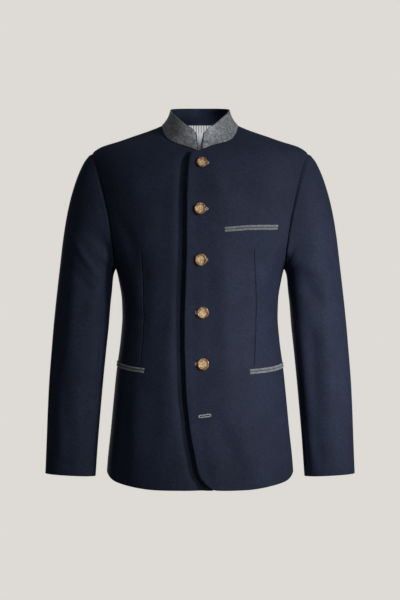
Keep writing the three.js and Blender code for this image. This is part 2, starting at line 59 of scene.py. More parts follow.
def rowsOf(columns, rows):
    names = columns.split(" ")
    return [dict(zip(names, row)) for row in rows]


def curveThrough(rows, xName, yName):
    # smooth curve through two columns, without overshoot
    points = sorted((row[xName], row[yName]) for row in rows)
    xs = [p[0] for p in points]
    ys = [p[1] for p in points]
    grades = [(ys[i + 1] - ys[i]) / (xs[i + 1] - xs[i]) for i in range(len(xs) - 1)]
    slopes = []
    for i in range(len(xs)):
        before = grades[max(i - 1, 0)]
        after = grades[min(i, len(grades) - 1)]
        slopes.append(2 * before * after / (before + after) if before * after > 0 else 0.0)

    def at(x):
        held = min(max(x, xs[0]), xs[-1])
        i = min(max(bisect.bisect_left(xs, held) - 1, 0), len(xs) - 2)
        span = xs[i + 1] - xs[i]
        t = (held - xs[i]) / span
        rise = ys[i + 1] - ys[i]
        bend = (slopes[i] * (1 - t) - slopes[i + 1] * t) * span + rise * (2 * t - 1)
        return ys[i] + rise * t + bend * t * (1 - t)
    return at


# The body of the jacket.
cut = {
    "wall": (2.0, 0.5), "tipZ": -57.0, "underarmZ": -293.0, "sideHemZ": -705.5, "backHemZ": -714.0,
    "neckRise": 11.0, "neckFade": 60.0, "seamIn": 0.12, "seamRoll": 1.0, "seamReach": 4.5, "foldGain": 1.35,
    "neckCells": 26, "shoulderCells": 30, "armholeCells": 44, "sideCells": 70, "leadCells": 6,
    "rollAtTip": 0.1, "rollFromCell": 3, "rollFade": 12, "rollShoulder": 0.35,
    "rollNeck": 0.5, "rollBack": 0.8,
}
# The lap: how far the closing edge stands out, and the soft trough in the front that lies under it.
lap = {
    "stand": 3.2, "standFrom": 78, "standFade": 55, "roll": 2.4, "rollWide": 20,
    "lift": 2.3, "liftFrom": 46, "liftFade": 40, "liftZ": -400, "liftHigh": 150,
    "lie": 1.2, "lieFrom": 62, "lieFade": 35,
    "sink": 8.0, "sinkPast": 6.2, "sinkNear": 9.0, "sinkFar": 15.0, "sinkZ": -60, "sinkFade": 16,
}
slices = rowsOf("z half side front back power", [
    [0, 78, 0, 5, 72, 2], [-10, 104, 1.5, 25, 79, 2], [-20, 133, 3, 43, 84, 2],
    [-31, 164, 5, 61, 88, 2], [-45, 206, 7, 80, 92, 2], [-57, 221, 8, 93, 95, 2.05],
    [-80, 227, 8, 106, 99, 2.1], [-120, 227.5, 8, 118, 106, 2.15],
    [-187, 218, 8.5, 128, 110, 2.2], [-220, 210.5, 9, 131, 108.5, 2.25],
    [-250, 198, 9, 132.5, 105, 2.3], [-293, 172.5, 9, 132.5, 95, 2.35],
    [-315, 167, 9, 131, 86, 2.4], [-357, 160.4, 9, 128, 78, 2.4],
    [-390, 159.4, 9, 126, 77, 2.4], [-439, 163, 9, 126, 82, 2.4],
    [-500, 171, 9, 128, 91, 2.4], [-562, 177.3, 10, 131, 98, 2.4],
    [-623, 183, 10, 135, 104, 2.4], [-685, 189.5, 10, 138, 107, 2.4],
    [-745, 193.5, 10, 138, 108, 2.4],
])
neckline = rowsOf("x z", [
    [-34, -64.5], [-16.4, -61], [0, -58], [10, -54.5], [20, -50], [34, -45.2],
    [48, -40.8], [58, -36.3], [66, -30.3], [72, -21.5], [75.5, -11], [78, 0],
])
armholeRows = rowsOf("z x", [
    [-57, 221], [-64, 218], [-80, 212], [-120, 201], [-160, 191.5], [-187, 185.5],
    [-220, 180], [-250, 175.8], [-275, 173.2], [-293, 172.5],
])
overEdge = rowsOf("x z", [
    [-16.4, -61], [-20.6, -76], [-22.8, -96], [-24.5, -134], [-25.5, -170], [-25.8, -250],
    [-27.5, -319], [-29.8, -400], [-30, -440], [-28.2, -500], [-26.4, -546], [-23.6, -577],
    [-20.2, -607], [-16, -636], [-10.2, -665], [-4.6, -694], [1.2, -710], [9.6, -720.5],
])
overCorner = rowsOf("x z", [[9.6, -720.5], [19, -729.5], [32, -735.6]])
underEdge = rowsOf("x z", [
    [-30, -63.7], [-30, -120], [-30, -620], [-30, -716], [-29.5, -732],
])
underCorner = rowsOf("x z", [[-29.5, -732], [-25, -736.2]])
hemFront = rowsOf("turn z", [
    [14, -736.5], [24, -736], [36, -733], [44, -730], [52, -727], [60, -723.5],
    [66, -720], [72, -715.5], [80, -709.5], [90, cut["sideHemZ"]],
])
hemBack = rowsOf("turn z", [
    [0, cut["backHemZ"]], [40, -713], [70, -708.5], [90, cut["sideHemZ"]],
])

halfAt, sideAt, frontAt, backAt, powerAt = (
    curveThrough(slices, "z", name) for name in ("half", "side", "front", "back", "power"))
armholeAt = curveThrough(armholeRows, "z", "x")
overEdgeAt = curveThrough(overEdge, "z", "x")


def bodyPoint(turn, z):
    # turn 0 is centre front, two quarters centre back, as in the solids
    power = 2 / powerAt(z)
    s, c = math.sin(turn), math.cos(turn)
    across = math.copysign(abs(s) ** power, s)
    ahead = abs(c) ** power
    depth = -frontAt(z) if c > 0 else backAt(z)
    behind = ease((abs(turn) / quarter - 1) * 2)
    rise = cut["neckRise"] * behind * ease(1 + z / cut["neckFade"])
    return Vector((halfAt(z) * across, sideAt(z) + depth * ahead, z + rise))


def bodyNormal(turn, z):
    high = min(z + 0.4, 0.0)
    along = bodyPoint(turn + 0.004, z) - bodyPoint(turn - 0.004, z)
    up = bodyPoint(turn, high) - bodyPoint(turn, high - 0.8)
    return along.cross(up).normalized()


def turnAt(x, z):
    share = min(abs(x) / halfAt(z), 1.0)
    return math.copysign(math.asin(share ** (powerAt(z) / 2)), x)


unroll = 0.75   # share of the turn that the flat width keeps
unrolled = math.sin(quarter * unroll)


def toFlat(turn, z):
    return halfAt(z) * math.sin(turn * unroll) / unrolled


def fromFlat(wide, z):
    return min(math.asin(min(wide / halfAt(z) * unrolled, 1.0)) / unroll, quarter)


# Soft folds of the body: ends in flat width and height, sideways bow, breadth, depth (plus stands out).
folds = {stand: rowsOf("x1 z1 x2 z2 bow wide deep", rows) for stand, rows in {
    "over": [
        [33, -262, 35, -455, -2, 14, 2.5], [34, -430, 44, -600, 3, 16, 2.1],
        [8, -280, 14, -470, 2, 12, -1.7], [66, -250, 78, -470, 6, 17, -2.3],
        [92, -330, 84, -500, -5, 18, 1.5], [18, -585, 47, -690, 0, 14, -2.5],
        [60, -600, 78, -715, 4, 17, 1.8], [104, -480, 118, -700, -6, 22, -1.9],
        [154, -540, 160, -715, 2, 14, 2.2], [60, -90, 118, -190, 10, 24, -2.1],
        [112, -90, 96, -230, 6, 22, 1.6], [134, -205, 98, -300, 6, 13, -2.8],
        [138, -240, 104, -345, 5, 12, 1.9], [92, -262, 92, -490, 0, 12, -1.1],
        [118, -385, 84, -415, 4, 12, -1.5], [121, -415, 70, -455, 6, 13, -1.2],
        [40, -96, 66, -150, 6, 15, -1.4], [24, -100, 40, -190, 5, 13, 1.2],
    ],
    "under": [
        [46, -260, 60, -470, 6, 17, -1.6], [30, -340, 44, -600, -5, 18, 1.5],
        [100, -290, 98, -480, 0, 16, 2.2], [98, -520, 106, -695, -4, 17, 2.4],
        [64, -520, 78, -715, 6, 18, -1.6], [128, -580, 134, -712, 3, 15, -1.8],
        [64, -95, 108, -200, 9, 24, -1.8], [110, -95, 92, -215, 6, 20, 1.5],
        [132, -200, 98, -290, 6, 13, -2.2], [136, -245, 106, -340, 5, 12, 1.8],
        [90, -262, 88, -490, 0, 9, -0.8], [120, -380, 82, -408, 4, 12, -1.6],
        [118, -420, 76, -452, 5, 13, -1.2], [32, -600, 44, -720, 4, 16, -1.6],
        [44, -82, 60, -285, 2, 15, -2],
    ],
    "back": [
        [26, -60, 62, -190, 10, 24, -1.8], [96, -90, 84, -240, 8, 22, 1.9],
        [128, -200, 86, -290, 7, 14, -2.4], [134, -235, 92, -330, 6, 13, 2],
        [120, -350, 40, -395, 8, 15, -2.3], [122, -385, 30, -425, 6, 14, 1.8],
        [112, -420, 46, -462, 6, 15, -1.9], [60, -300, 66, -520, 5, 20, -1.8],
        [34, -470, 46, -700, 6, 21, 2.2], [84, -500, 100, -705, -6, 20, -2.2],
        [122, -560, 132, -700, 4, 18, 2.1], [14, -560, 22, -706, 3, 14, -1.7],
    ],
}.items()}
# How a fold of the body and one of a sleeve swell along their length and fade at sides and ends.
bodyFold = {"taper": 0.3, "start": 0.12, "power": 1.3, "fade": 30, "sides": 9, "ends": 9, "reachZ": 60}
sleeveBend = {
    "taper": 0.0, "start": 0.1, "power": 1.2, "fade": 26, "sides": 3, "ends": 70 / 26, "stepHigh": 50,
}


def foldDepth(fold, shape, run, climb, off, rise):
    # depth of a fold at off and rise from its start, where run and climb lead to its end
    length = math.hypot(run, climb)
    t = (off * run + rise * climb) / (length * length)
    held = min(max(t, 0.0), 1.0)
    aside = (off * climb - rise * run) / length - fold["bow"] * 4 * held * (1 - held)
    beyond = (t - held) * length / shape["fade"]
    if abs(aside) > shape["sides"] * fold["wide"] or abs(beyond) > shape["ends"]:
        return 0.0
    breadth = fold["wide"] * mix(1 - shape["taper"], 1 + shape["taper"], held)
    swell = math.sin(math.pi * mix(shape["start"], 1 - shape["start"], held)) ** shape["power"]
    return cut["foldGain"] * fold["deep"] * swell * math.exp(-(aside / breadth) ** 2 - beyond ** 2)


def foldAt(rows, x, z):
    total = 0.0
    for fold in rows:
        run, climb = fold["x2"] - fold["x1"], fold["z2"] - fold["z1"]
        if abs(z - (fold["z1"] + fold["z2"]) / 2) <= abs(climb) / 2 + bodyFold["reachZ"]:
            total += foldDepth(fold, bodyFold, run, climb, x - fold["x1"], z - fold["z1"])
    return total


def standAt(stand, turn, z, x):
    # how far the cloth stands off the plain body: its folds, and the lap on the fronts
    if math.cos(turn) <= 0:
        return foldAt(folds["back"], toFlat(math.pi - abs(turn), z), z)
    off = foldAt(folds[stand], toFlat(abs(turn), z), z)
    edge = overEdgeAt(z)
    if stand == "over":
        off += lap["stand"] * ease((lap["standFrom"] - x) / lap["standFade"])
        off += lap["roll"] * ease((edge - x) / lap["rollWide"] + 1)
        high = math.exp(-((z - lap["liftZ"]) / lap["liftHigh"]) ** 2)
        off += lap["lift"] * high * ease((edge + lap["liftFrom"] - x) / lap["liftFade"])
    else:
        past = edge + x - lap["sinkPast"]
        reach = lap["sinkNear"] if past < 0 else lap["sinkFar"]
        off -= lap["lie"] * ease((lap["lieFrom"] - x) / lap["lieFade"])
        off -= lap["sink"] * math.exp(-(past / reach) ** 2) * ease((lap["sinkZ"] - z) / lap["sinkFade"])
    return off


def panelPoint(stand, turn, z, depth=0.0):
    point = bodyPoint(turn, z)
    return point + bodyNormal(turn, z) * (standAt(stand, turn, z, point.x) - depth)


def distances(points):
    # the running length along a line of points
    found = [0.0]
    for a, b in zip(points, points[1:]):
        found.append(found[-1] + (b - a).length)
    return found


def evenly(points, count):
    # where even steps along a line of points fall: a point's number and the share up to the next
    lengths = distances(points)
    for k in range(count + 1):
        goal = lengths[-1] * k / count
        i = min(max(bisect.bisect_left(lengths, goal) - 1, 0), len(points) - 2)
        yield i, min((goal - lengths[i]) / max(lengths[i + 1] - lengths[i], 1e-9), 1.0)


def spaced(path, count):
    # places along a path, evenly spaced by length on the body
    fine = 400
    points = [bodyPoint(*path(i / fine)) for i in range(fine + 1)]
    return [path((i + share) / fine) for i, share in evenly(points, count)]


def pathThrough(rows, toPlace):
    names = list(rows[0])
    ways = [0.0]
    for before, after in zip(rows, rows[1:]):
        ways.append(ways[-1] + math.dist([before[n] for n in names], [after[n] for n in names]))
    marked = [dict(row, way=way / ways[-1]) for row, way in zip(rows, ways)]
    curves = [curveThrough(marked, "way", name) for name in names]
    return lambda way: toPlace(*[at(way) for at in curves])


def fromX(x, z):
    return turnAt(x, z), z


def fromTurn(turn, z):
    return math.radians(turn), z


def straight(start, end):
    return lambda way: (mix(start[0], end[0], way), mix(start[1], end[1], way))


def armholePlace(way):
    z = mix(cut["tipZ"], cut["underarmZ"], (1 - math.cos(way * math.pi)) / 2)
    return turnAt(armholeAt(z), z), z


armholePlaces = spaced(armholePlace, cut["armholeCells"])
sidePlaces = spaced(straight((quarter, cut["underarmZ"]), (quarter, cut["sideHemZ"])), cut["sideCells"])
shoulderPlaces = spaced(straight((quarter, 0), (quarter, cut["tipZ"])), cut["shoulderCells"])
frontNeckPlaces = spaced(pathThrough(neckline[2:], fromX), cut["neckCells"])
backNeckPlaces = [(math.pi - turn, 0.0) for turn, z in
                  spaced(straight((0, 0), (quarter, 0)), cut["neckCells"])]


def panelNet(top, right, bottom, left, back):
    # a net blended from its four edges, laid out flat
    def flat(place):
        turn, z = place
        return toFlat(math.pi - turn if back else turn, z), z
    tops, rights, bottoms, lefts = [[flat(p) for p in edge] for edge in (top, right, bottom, left)]
    columns, rows = len(tops) - 1, len(lefts) - 1
    net = []
    for j in range(rows + 1):
        v = j / rows
        line = []
        for i in range(columns + 1):
            u = i / columns
            wide, z = [mix(tops[i][k], bottoms[i][k], v) + mix(lefts[j][k], rights[j][k], u)
                       - mix(mix(tops[0][k], tops[-1][k], u), mix(bottoms[0][k], bottoms[-1][k], u), v)
                       for k in (0, 1)]
            turn = fromFlat(wide, z) if wide >= 0 else -fromFlat(-wide, z)
            line.append((math.pi - turn if back else turn, z))
        net.append(line)
    return net


def lengthsOf(net):
    # distance of every point from the first and the last of its row and of its column
    rows, columns = len(net), len(net[0])
    across = [[0.0] * columns for _ in range(rows)]
    down = [[0.0] * columns for _ in range(rows)]
    for j in range(rows):
        for i in range(1, columns):
            across[j][i] = across[j][i - 1] + (net[j][i] - net[j][i - 1]).length
    for i in range(columns):
        for j in range(1, rows):
            down[j][i] = down[j - 1][i] + (net[j][i] - net[j - 1][i]).length
    return across, down


def drawIn(points, top=0.0, left=0.0, right=0.0):
    # pulls the edges of a net in by a seam gap, along its own lines
    points[0] = [a + (b - a).normalized() * top for a, b in zip(points[0], points[1])]
    for line in points:
        line[0] = line[0] + (line[1] - line[0]).normalized() * left
        line[-1] = line[-1] + (line[-2] - line[-1]).normalized() * right


def netOf(rows, cells, spot):
    # rows of points and rows of their marks; spot gives both for a cell and a row
    spots = [[spot(i, j) for i in range(cells + 1)] for j in range(rows + 1)]
    return [[[pair[k] for pair in line] for line in spots] for k in (0, 1)]


# Meshes.
def pieceFrom(name, bm, smooth=True):
    mesh = bpy.data.meshes.new(name)
    bm.to_mesh(mesh)
    bm.free()
    for polygon in mesh.polygons:
        polygon.use_smooth = smooth
    piece = bpy.data.objects.new(name, mesh)
    bpy.context.collection.objects.link(piece)
    return piece


def gridPiece(name, points, marks, side):
    # a create_grid mesh whose vertices are set from rows of points; marks give its two UV maps
    columns = len(points[0])
    bm = bmesh.new()
    bmesh.ops.create_grid(bm, x_segments=columns - 1, y_segments=len(points) - 1, size=1)
    bm.verts.index_update()
    grain, place = (bm.loops.layers.uv.new(title) for title in ("grain", "place"))
    for vert in bm.verts:
        j, i = divmod(vert.index, columns)
        vert.co = points[j][i] * metre
        vert.co.x *= side
    for face in bm.faces:
        for loop in face.loops:
            j, i = divmod(loop.vert.index, columns)
            mark = [value * metre for value in marks[j][i]]
            loop[grain].uv = mark[:2]
            loop[place].uv = mark[2:]
    return pieceFrom(name, bm)


def dress(piece, material, slotName, *nodes):
    piece.data.materials.clear()
    piece.data.materials.append(material)
    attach(piece, "root")
    if nodes:
        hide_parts(*nodes)


def cutAway(piece, bm):
    # takes a closed bmesh out of a piece and makes the modifiers' result the piece's own mesh
    cutter = pieceFrom("cutter", bm, False)
    away = piece.modifiers.new("cut", "BOOLEAN")
    away.operation = "DIFFERENCE"
    away.object = cutter
    away.solver = "EXACT"
    piece.data = bpy.data.meshes.new_from_object(piece.evaluated_get(bpy.context.evaluated_depsgraph_get()))
    piece.modifiers.clear()
    bpy.data.objects.remove(cutter)


def makeCloth(name, node, net, side, outward, wall, material, slotName, bite=None, **sheet):
    # one cut piece of cloth: a net with its face outward, an even wall and softened edges
    piece = gridPiece(name, *net, side)
    polygons = piece.data.polygons
    if polygons[len(polygons) // 2 + 3].normal.dot(Vector(outward)) < 0:
        piece.data.flip_normals()
    solid = piece.modifiers.new("wall", "SOLIDIFY")
    solid.thickness = wall[0] * metre
    solid.offset = -1
    edge = piece.modifiers.new("edge", "BEVEL")
    edge.width = wall[1] * metre
    edge.segments = 2
    edge.limit_method = "ANGLE"
    edge.angle_limit = math.radians(50)
    if bite:
        cutAway(piece, bite)
    dress(piece, material, slotName, node)


# Materials.
def colour(hexValue):
    parts = [int(hexValue[i:i + 2], 16) / 255 for i in (1, 3, 5)]
    return tuple(c / 12.92 if c <= 0.04045 else ((c + 0.055) / 1.055) ** 2.4 for c in parts) + (1.0,)


def fillIn(tree, node, values):
    # inputs by name or number: other nodes' outputs, hex colours or plain values
    for key, value in values.items():
        if isinstance(value, bpy.types.NodeSocket):
            tree.links.new(value, node.inputs[key])
        else:
            node.inputs[key].default_value = colour(value) if isinstance(value, str) else value


def addNode(tree, kind, values, stops=(), **settings):
    # adds a node with its inputs, its settings and a ramp's stops, and gives its outputs
    node = tree.nodes.new("ShaderNode" + kind)
    for name, value in settings.items():
        setattr(node, name, value)
    fillIn(tree, node, values)
    if stops:
        elements = node.color_ramp.elements
        while len(elements) < len(stops):
            elements.new(0.5)
        for element, (position, shade) in zip(elements, stops):
            element.position = position
            element.color = colour(shade)
    return node.outputs


def newMaterial(name):
    material = bpy.data.materials.new(name)
    material.use_nodes = True
    tree = material.node_tree
    return material, tree, tree.nodes["Principled BSDF"], addNode(tree, "TexCoord", {})["Object"]


woolLook = {
    "deep": "#1a1f2f", "navy": "#20273a", "light": "#2a3248",
    "slubLong": 7.0, "slubHigh": 1.5,   # mm; the real yarns are about 0.4 mm, too fine for the picture
    "fleckSize": 1.6, "cloudSize": 55.0,
    "rough": 0.8, "sheen": 0.05,
}


def noiseOf(tree, vector, sizes, detail, rough=0.6, distortion=0.0):
    # noise whose features measure sizes in mm along X, Y and Z
    scaled = addNode(tree, "VectorMath", {0: vector, 1: [1 / (size * metre) for size in sizes]},
                     operation="MULTIPLY")[0]
    return addNode(tree, "TexNoise", {"Vector": scaled, "Scale": 1.0, "Detail": detail, "Roughness": rough,
                                      "Distortion": distortion})["Fac"]


def weighted(tree, parts):
    # sum of values, each times its weight
    total = None
    for value, weight in parts:
        share = addNode(tree, "Math", {0: value, 1: weight}, operation="MULTIPLY")[0]
        total = share if total is None else addNode(tree, "Math", {0: total, 1: share}, operation="ADD")[0]
    return total


def woolMaterial(name, dart=None):
    # fine worsted hopsack, piece dyed: matt yarns crossing, each a little lighter or darker than the next
    material, tree, shader, object3d = newMaterial(name)
    slub, high = woolLook["slubLong"], woolLook["slubHigh"]
    weft = noiseOf(tree, object3d, (slub, slub, high), 2.0)
    warp = noiseOf(tree, object3d, (high, high, slub), 2.0)
    fleck = noiseOf(tree, object3d, (woolLook["fleckSize"],) * 3, 3.0)
    cloud = noiseOf(tree, object3d, (woolLook["cloudSize"],) * 3, 2.0)
    tone = weighted(tree, ((weft, 0.4), (warp, 0.25), (fleck, 0.15), (cloud, 0.2)))
    base = addNode(tree, "ValToRGB", {0: tone}, [
        (0.38, woolLook["deep"]), (0.5, woolLook["navy"]), (0.64, woolLook["light"])])["Color"]
    normal = addNode(tree, "Bump", {"Strength": 0.35, "Distance": 0.0004,
                                    "Height": weighted(tree, ((weft, 0.5), (warp, 0.5)))})[0]
    if dart:
        # the pressed seam of the dart: a fine bowed line that sinks, with painted shade darkening the colour
        # along it for the shadow in the crease
        place = addNode(tree, "UVMap", {}, uv_map="place")[0]
        made = dict(zip(("x", "z"), addNode(tree, "SeparateXYZ", {0: place})))
        for result, operation, first, second in (
                ("above", "SUBTRACT", "z", dart["end"] * metre),
                ("share", "DIVIDE", "above", (dart["top"] - dart["end"]) * metre),
                ("left", "SUBTRACT", 1.0, "share"), ("arch", "MULTIPLY", "share", "left"),
                ("bow", "MULTIPLY", "arch", 4 * dart["bow"] * metre),
                ("middle", "ADD", "bow", dart["x"] * metre),
                ("off", "SUBTRACT", "x", "middle"), ("away", "ABSOLUTE", "off", 0.0),
                ("far", "DIVIDE", "away", dart["wide"] * metre), ("near", "SUBTRACT", 1.0, "far"),
                ("crease", "MAXIMUM", "near", 0.0), ("begun", "GREATER_THAN", "share", 0.0),
                ("open", "LESS_THAN", "share", 1.0), ("within", "MULTIPLY", "begun", "open"),
                ("line", "MULTIPLY", "crease", "within"), ("dark", "MULTIPLY", "line", 0.7),
                ("height", "SUBTRACT", 1.0, "line")):
            made[result] = addNode(tree, "Math", {0: made.get(first, first), 1: made.get(second, second)},
                                   operation=operation)[0]
        normal = addNode(tree, "Bump", {"Strength": 0.9, "Distance": 0.0016, "Height": made["height"],
                                        "Normal": normal})[0]
        # painted shade: the colour is multiplied darker along the dart's line, as the shadow in its crease
        base = addNode(tree, "Mix", {0: made["dark"], 6: base, 7: "#60606a"},
                       data_type="RGBA", blend_type="MULTIPLY")[2]
    fillIn(tree, shader, {
        "Base Color": base, "Normal": normal, "Roughness": woolLook["rough"], "Specular IOR Level": 0.25,
        "Sheen Weight": woolLook["sheen"], "Sheen Roughness": 0.45, "Sheen Tint": "#aab4e0"})
    return material


feltLook = {"dark": "#484b4f", "mid": "#717478", "pale": "#a3a5a9", "fibre": 2.6, "clump": 9.0}


def feltMaterial(name, strength=1.0, spread=0.1):
    # milled loden felt, melange grey: no weave, short matted fibres that scatter the light
    material, tree, shader, object3d = newMaterial(name)
    fibre = noiseOf(tree, object3d, (feltLook["fibre"],) * 3, 4.0, 0.7, 1.2)
    clump = noiseOf(tree, object3d, (feltLook["clump"],) * 3, 3.0)
    tone = weighted(tree, ((fibre, 0.75), (clump, 0.25)))
    base = addNode(tree, "ValToRGB", {0: tone}, [
        (0.5 - spread, feltLook["dark"]), (0.5, feltLook["mid"]), (0.5 + spread, feltLook["pale"])])["Color"]
    normal = addNode(tree, "Bump", {"Strength": 0.6 * strength, "Distance": 0.0006, "Height": tone})[0]
    fillIn(tree, shader, {"Base Color": base, "Normal": normal, "Roughness": 0.95, "Specular IOR Level": 0.12,
                          "Sheen Weight": 0.25, "Sheen Roughness": 0.6})
    return material


def stripeMaterial(name, pitch, pale, dark, share, shine):
    # striped cupro lining: smooth and slightly glossy, stripes woven in the warp
    material, tree, shader, _ = newMaterial(name)
    grain = addNode(tree, "UVMap", {}, uv_map="grain")[0]
    across = addNode(tree, "SeparateXYZ", {0: grain})[0]
    stripe = addNode(tree, "Math", {0: across, 1: pitch * metre}, operation="DIVIDE")[0]
    phase = addNode(tree, "Math", {0: stripe}, operation="FRACT")[0]
    base = addNode(tree, "ValToRGB", {0: phase}, [
        (0.0, pale), (0.46 - share / 2, pale), (0.54 - share / 2, dark),
        (0.46 + share / 2, dark), (0.54 + share / 2, pale)])["Color"]
    scale = 1 / (0.5556 * metre)   # two yarns of 0.28 mm: one is too fine for the picture
    thread = addNode(tree, "TexNoise", {"Vector": grain, "Scale": scale, "Detail": 2.0})["Fac"]
    normal = addNode(tree, "Bump", {"Strength": 0.15, "Distance": 0.0003, "Height": thread})[0]
    fillIn(tree, shader, {"Base Color": base, "Normal": normal, "Roughness": shine})
    return material


def threadMaterial(name, pale, dark):
    # twisted polyester sewing thread: small painted glints along the plies, pale bands in the colour with
    # painted shade between them
    material, tree, shader, object3d = newMaterial(name)
    scale = 1 / (1.4286 * metre)   # plies of 1.4 mm: the real 0.3 mm is too fine for the picture
    ply = addNode(tree, "TexWave", {"Vector": object3d, "Scale": scale, "Distortion": 1.0},
                  wave_type="BANDS", bands_direction="DIAGONAL")["Fac"]
    # painted light: the pale bands stand for glints on the plies, and the dark bands for the shade between
    # them
    base = addNode(tree, "ValToRGB", {0: ply}, [(0.2, dark), (0.8, pale)])["Color"]
    normal = addNode(tree, "Bump", {"Strength": 0.5, "Distance": 0.0003, "Height": ply})[0]
    fillIn(tree, shader, {"Base Color": base, "Normal": normal, "Roughness": 0.6})
    return material


# centre: how sharply the painted highlight at the button's middle falls off towards the rim
hornLook = {"speck": 3.03, "layer": 9.09, "centre": 1.6, "shine": 0.28, "gloss": 0.5}


def hornMaterial(name):
    # polished horn look: brown and honey specks and layers, a painted highlight that makes it paler to the
    # middle, under a clear gloss
    material, tree, shader, object3d = newMaterial(name)
    specks = noiseOf(tree, object3d, (hornLook["speck"],) * 3, 3.0, 0.6, 1.0)
    layers = noiseOf(tree, object3d, (hornLook["layer"],) * 3, 3.0, 0.5, 1.6)
    # painted highlight: the colour grows paler towards the middle of the button, by the share of the radius
    rim = addNode(tree, "Attribute", {}, attribute_name="rim")["Fac"]
    inside = addNode(tree, "Math", {0: 1.0, 1: rim}, operation="SUBTRACT")[0]
    centre = addNode(tree, "Math", {0: inside, 1: hornLook["centre"]}, operation="POWER")[0]
    tone = weighted(tree, ((specks, 0.5), (layers, 0.4), (centre, 0.4)))
    base = addNode(tree, "ValToRGB", {0: tone}, [
        (0.36, "#4a2e1b"), (0.46, "#8f6340"), (0.54, "#c2945f"), (0.64, "#ecd3a4")])["Color"]
    fillIn(tree, shader, {"Base Color": base, "Roughness": hornLook["shine"],
                          "Coat Weight": hornLook["gloss"], "Coat Roughness": 0.12})
    return material


navyWool = woolMaterial("navyWool")
navyWoolOver = woolMaterial("navyWoolOverDarted", {
    "x": 108.0, "bow": 5.0, "top": -258.0, "end": -490.0, "wide": 1.7})
navyWoolUnder = woolMaterial("navyWoolUnderDarted", {
    "x": 120.0, "bow": -7.0, "top": -258.0, "end": -486.0, "wide": 1.7})
greyFelt = feltMaterial("greyLodenFelt")
jetFelt = feltMaterial("greyJetFelt", 0.7, 0.19)
liningCloth = stripeMaterial("stripedCuproLining", 5.9, "#f4f4f6", "#9a9ba2", 0.34, 0.42)
tabCloth = stripeMaterial("stripedTabCloth", 4.2, "#dcdce1", "#a3a4aa", 0.4, 0.6)
greyThread = threadMaterial("greyButtonholeTwist", "#d2d4d6", "#94969a")
navyThread = threadMaterial("navySewingThread", "#3c435c", "#161a28")
brownHorn = hornMaterial("polishedHorn")
print("stage: materials made")


# Fronts and backs.
def nearSeam(distance):
    return math.exp(-(distance / cut["seamReach"]) ** 2)


def rollAt(front, across, down, i, j):
    # how much a seam's edge rolls in: side and armhole, then shoulder and neck, then centre back
    begun = mix(cut["rollAtTip"], 1, ease((j - cut["rollFromCell"]) / cut["rollFade"]))
    side = nearSeam(across[j][-1] - across[j][i]) * begun
    top = nearSeam(down[j][i]) * cut["rollShoulder" if front and i > cut["neckCells"] else "rollNeck"]
    return max(side, top, 0 if front else cut["rollBack"] * nearSeam(across[j][i]))


def panelRows(net, stand, gaps):
    base = [[bodyPoint(turn, z) for turn, z in line] for line in net]
    across, down = lengthsOf(base)
    front = stand != "back"

    def spot(i, j):
        turn, z = net[j][i]
        point = base[j][i]
        off = standAt(stand, turn, z, point.x) - cut["seamRoll"] * rollAt(front, across, down, i, j)
        return (point + bodyNormal(turn, z) * off,
                (across[j][i] - (0 if front else across[j][-1]), z, point.x, z))
    points, marks = netOf(len(net) - 1, len(net[0]) - 1, spot)
    drawIn(points, **gaps)
    return points, marks


def frontPanel(edge, corner, stand):
    sideRows = armholePlaces + sidePlaces[1:]
    left = spaced(pathThrough(edge, fromX), cut["armholeCells"] + cut["sideCells"])
    start = fromX(edge[0]["x"], edge[0]["z"])
    lead = [straight(start, (0.0, neckline[2]["z"]))(k / cut["leadCells"]) for k in range(cut["leadCells"])]
    top = lead + frontNeckPlaces + shoulderPlaces[1:]
    cornerRows = [{"turn": math.degrees(turnAt(row["x"], row["z"])), "z": row["z"]} for row in corner]
    bottom = spaced(pathThrough(cornerRows + hemFront, fromTurn), len(top) - 1)
    net = panelNet(top, sideRows, bottom, left, False)
    return panelRows(net, stand, {"top": cut["seamIn"], "right": cut["seamIn"]})


def backPanel():
    sideRows = [(math.pi - turn, z) for turn, z in armholePlaces + sidePlaces[1:]]
    left = spaced(straight((math.pi, 0), (math.pi, cut["backHemZ"])), cut["armholeCells"] + cut["sideCells"])
    top = backNeckPlaces + [(math.pi - turn, z) for turn, z in shoulderPlaces[1:]]
    hem = pathThrough(hemBack, lambda turn, z: (math.pi - math.radians(turn), z))
    net = panelNet(top, sideRows, spaced(hem, len(top) - 1), left, True)
    return panelRows(net, "back", dict.fromkeys(("top", "left", "right"), cut["seamIn"]))


buttons = rowsOf("x z holeX size", [
    [4.2, -83.5, 5.5, 0.9], [0.2, -176, 4, 1], [1.8, -277, 3, 1], [5.8, -382, 2.5, 1], [6.2, -485, 2.5, 1],
])
holes = rowsOf("x z tilt", [[row["holeX"], row["z"], 0.0] for row in buttons] + [[9.5, -587.6, 0.12]])
holeLook = {
    "length": 20.5, "width": 0.9, "reach": 9, "stitch": 3.4, "spacing": 0.85, "crown": 0.7, "tack": 0.9,
    "height": 0.3, "thick": 0.5, "cornerCells": 6,
}


def placed(x, z, height, tilt=0.0, along=None):
    # a frame over the closing front whose +Z looks out of it, tilted or lying along a direction
    turn = turnAt(x, z)
    aim = Vector((0, 0, 1)).rotation_difference(bodyNormal(turn, z))
    if along:
        flat = aim.inverted() @ along
        tilt = math.atan2(flat.y, flat.x)
    point = panelPoint("over", turn, z, -height) * metre
    return Matrix.Translation(point) @ aim.to_matrix().to_4x4() @ Matrix.Rotation(tilt, 4, "Z")


def slotOutline(length, width, steps):
    # points round a slot with round ends
    half, radius = length / 2, width / 2
    found = []
    for side in (1, -1):
        for k in range(steps + 1):
            turn = -quarter + math.pi * k / steps
            found.append(Vector((half + radius * math.cos(turn), radius * math.sin(turn), 0)) * side)
    return found


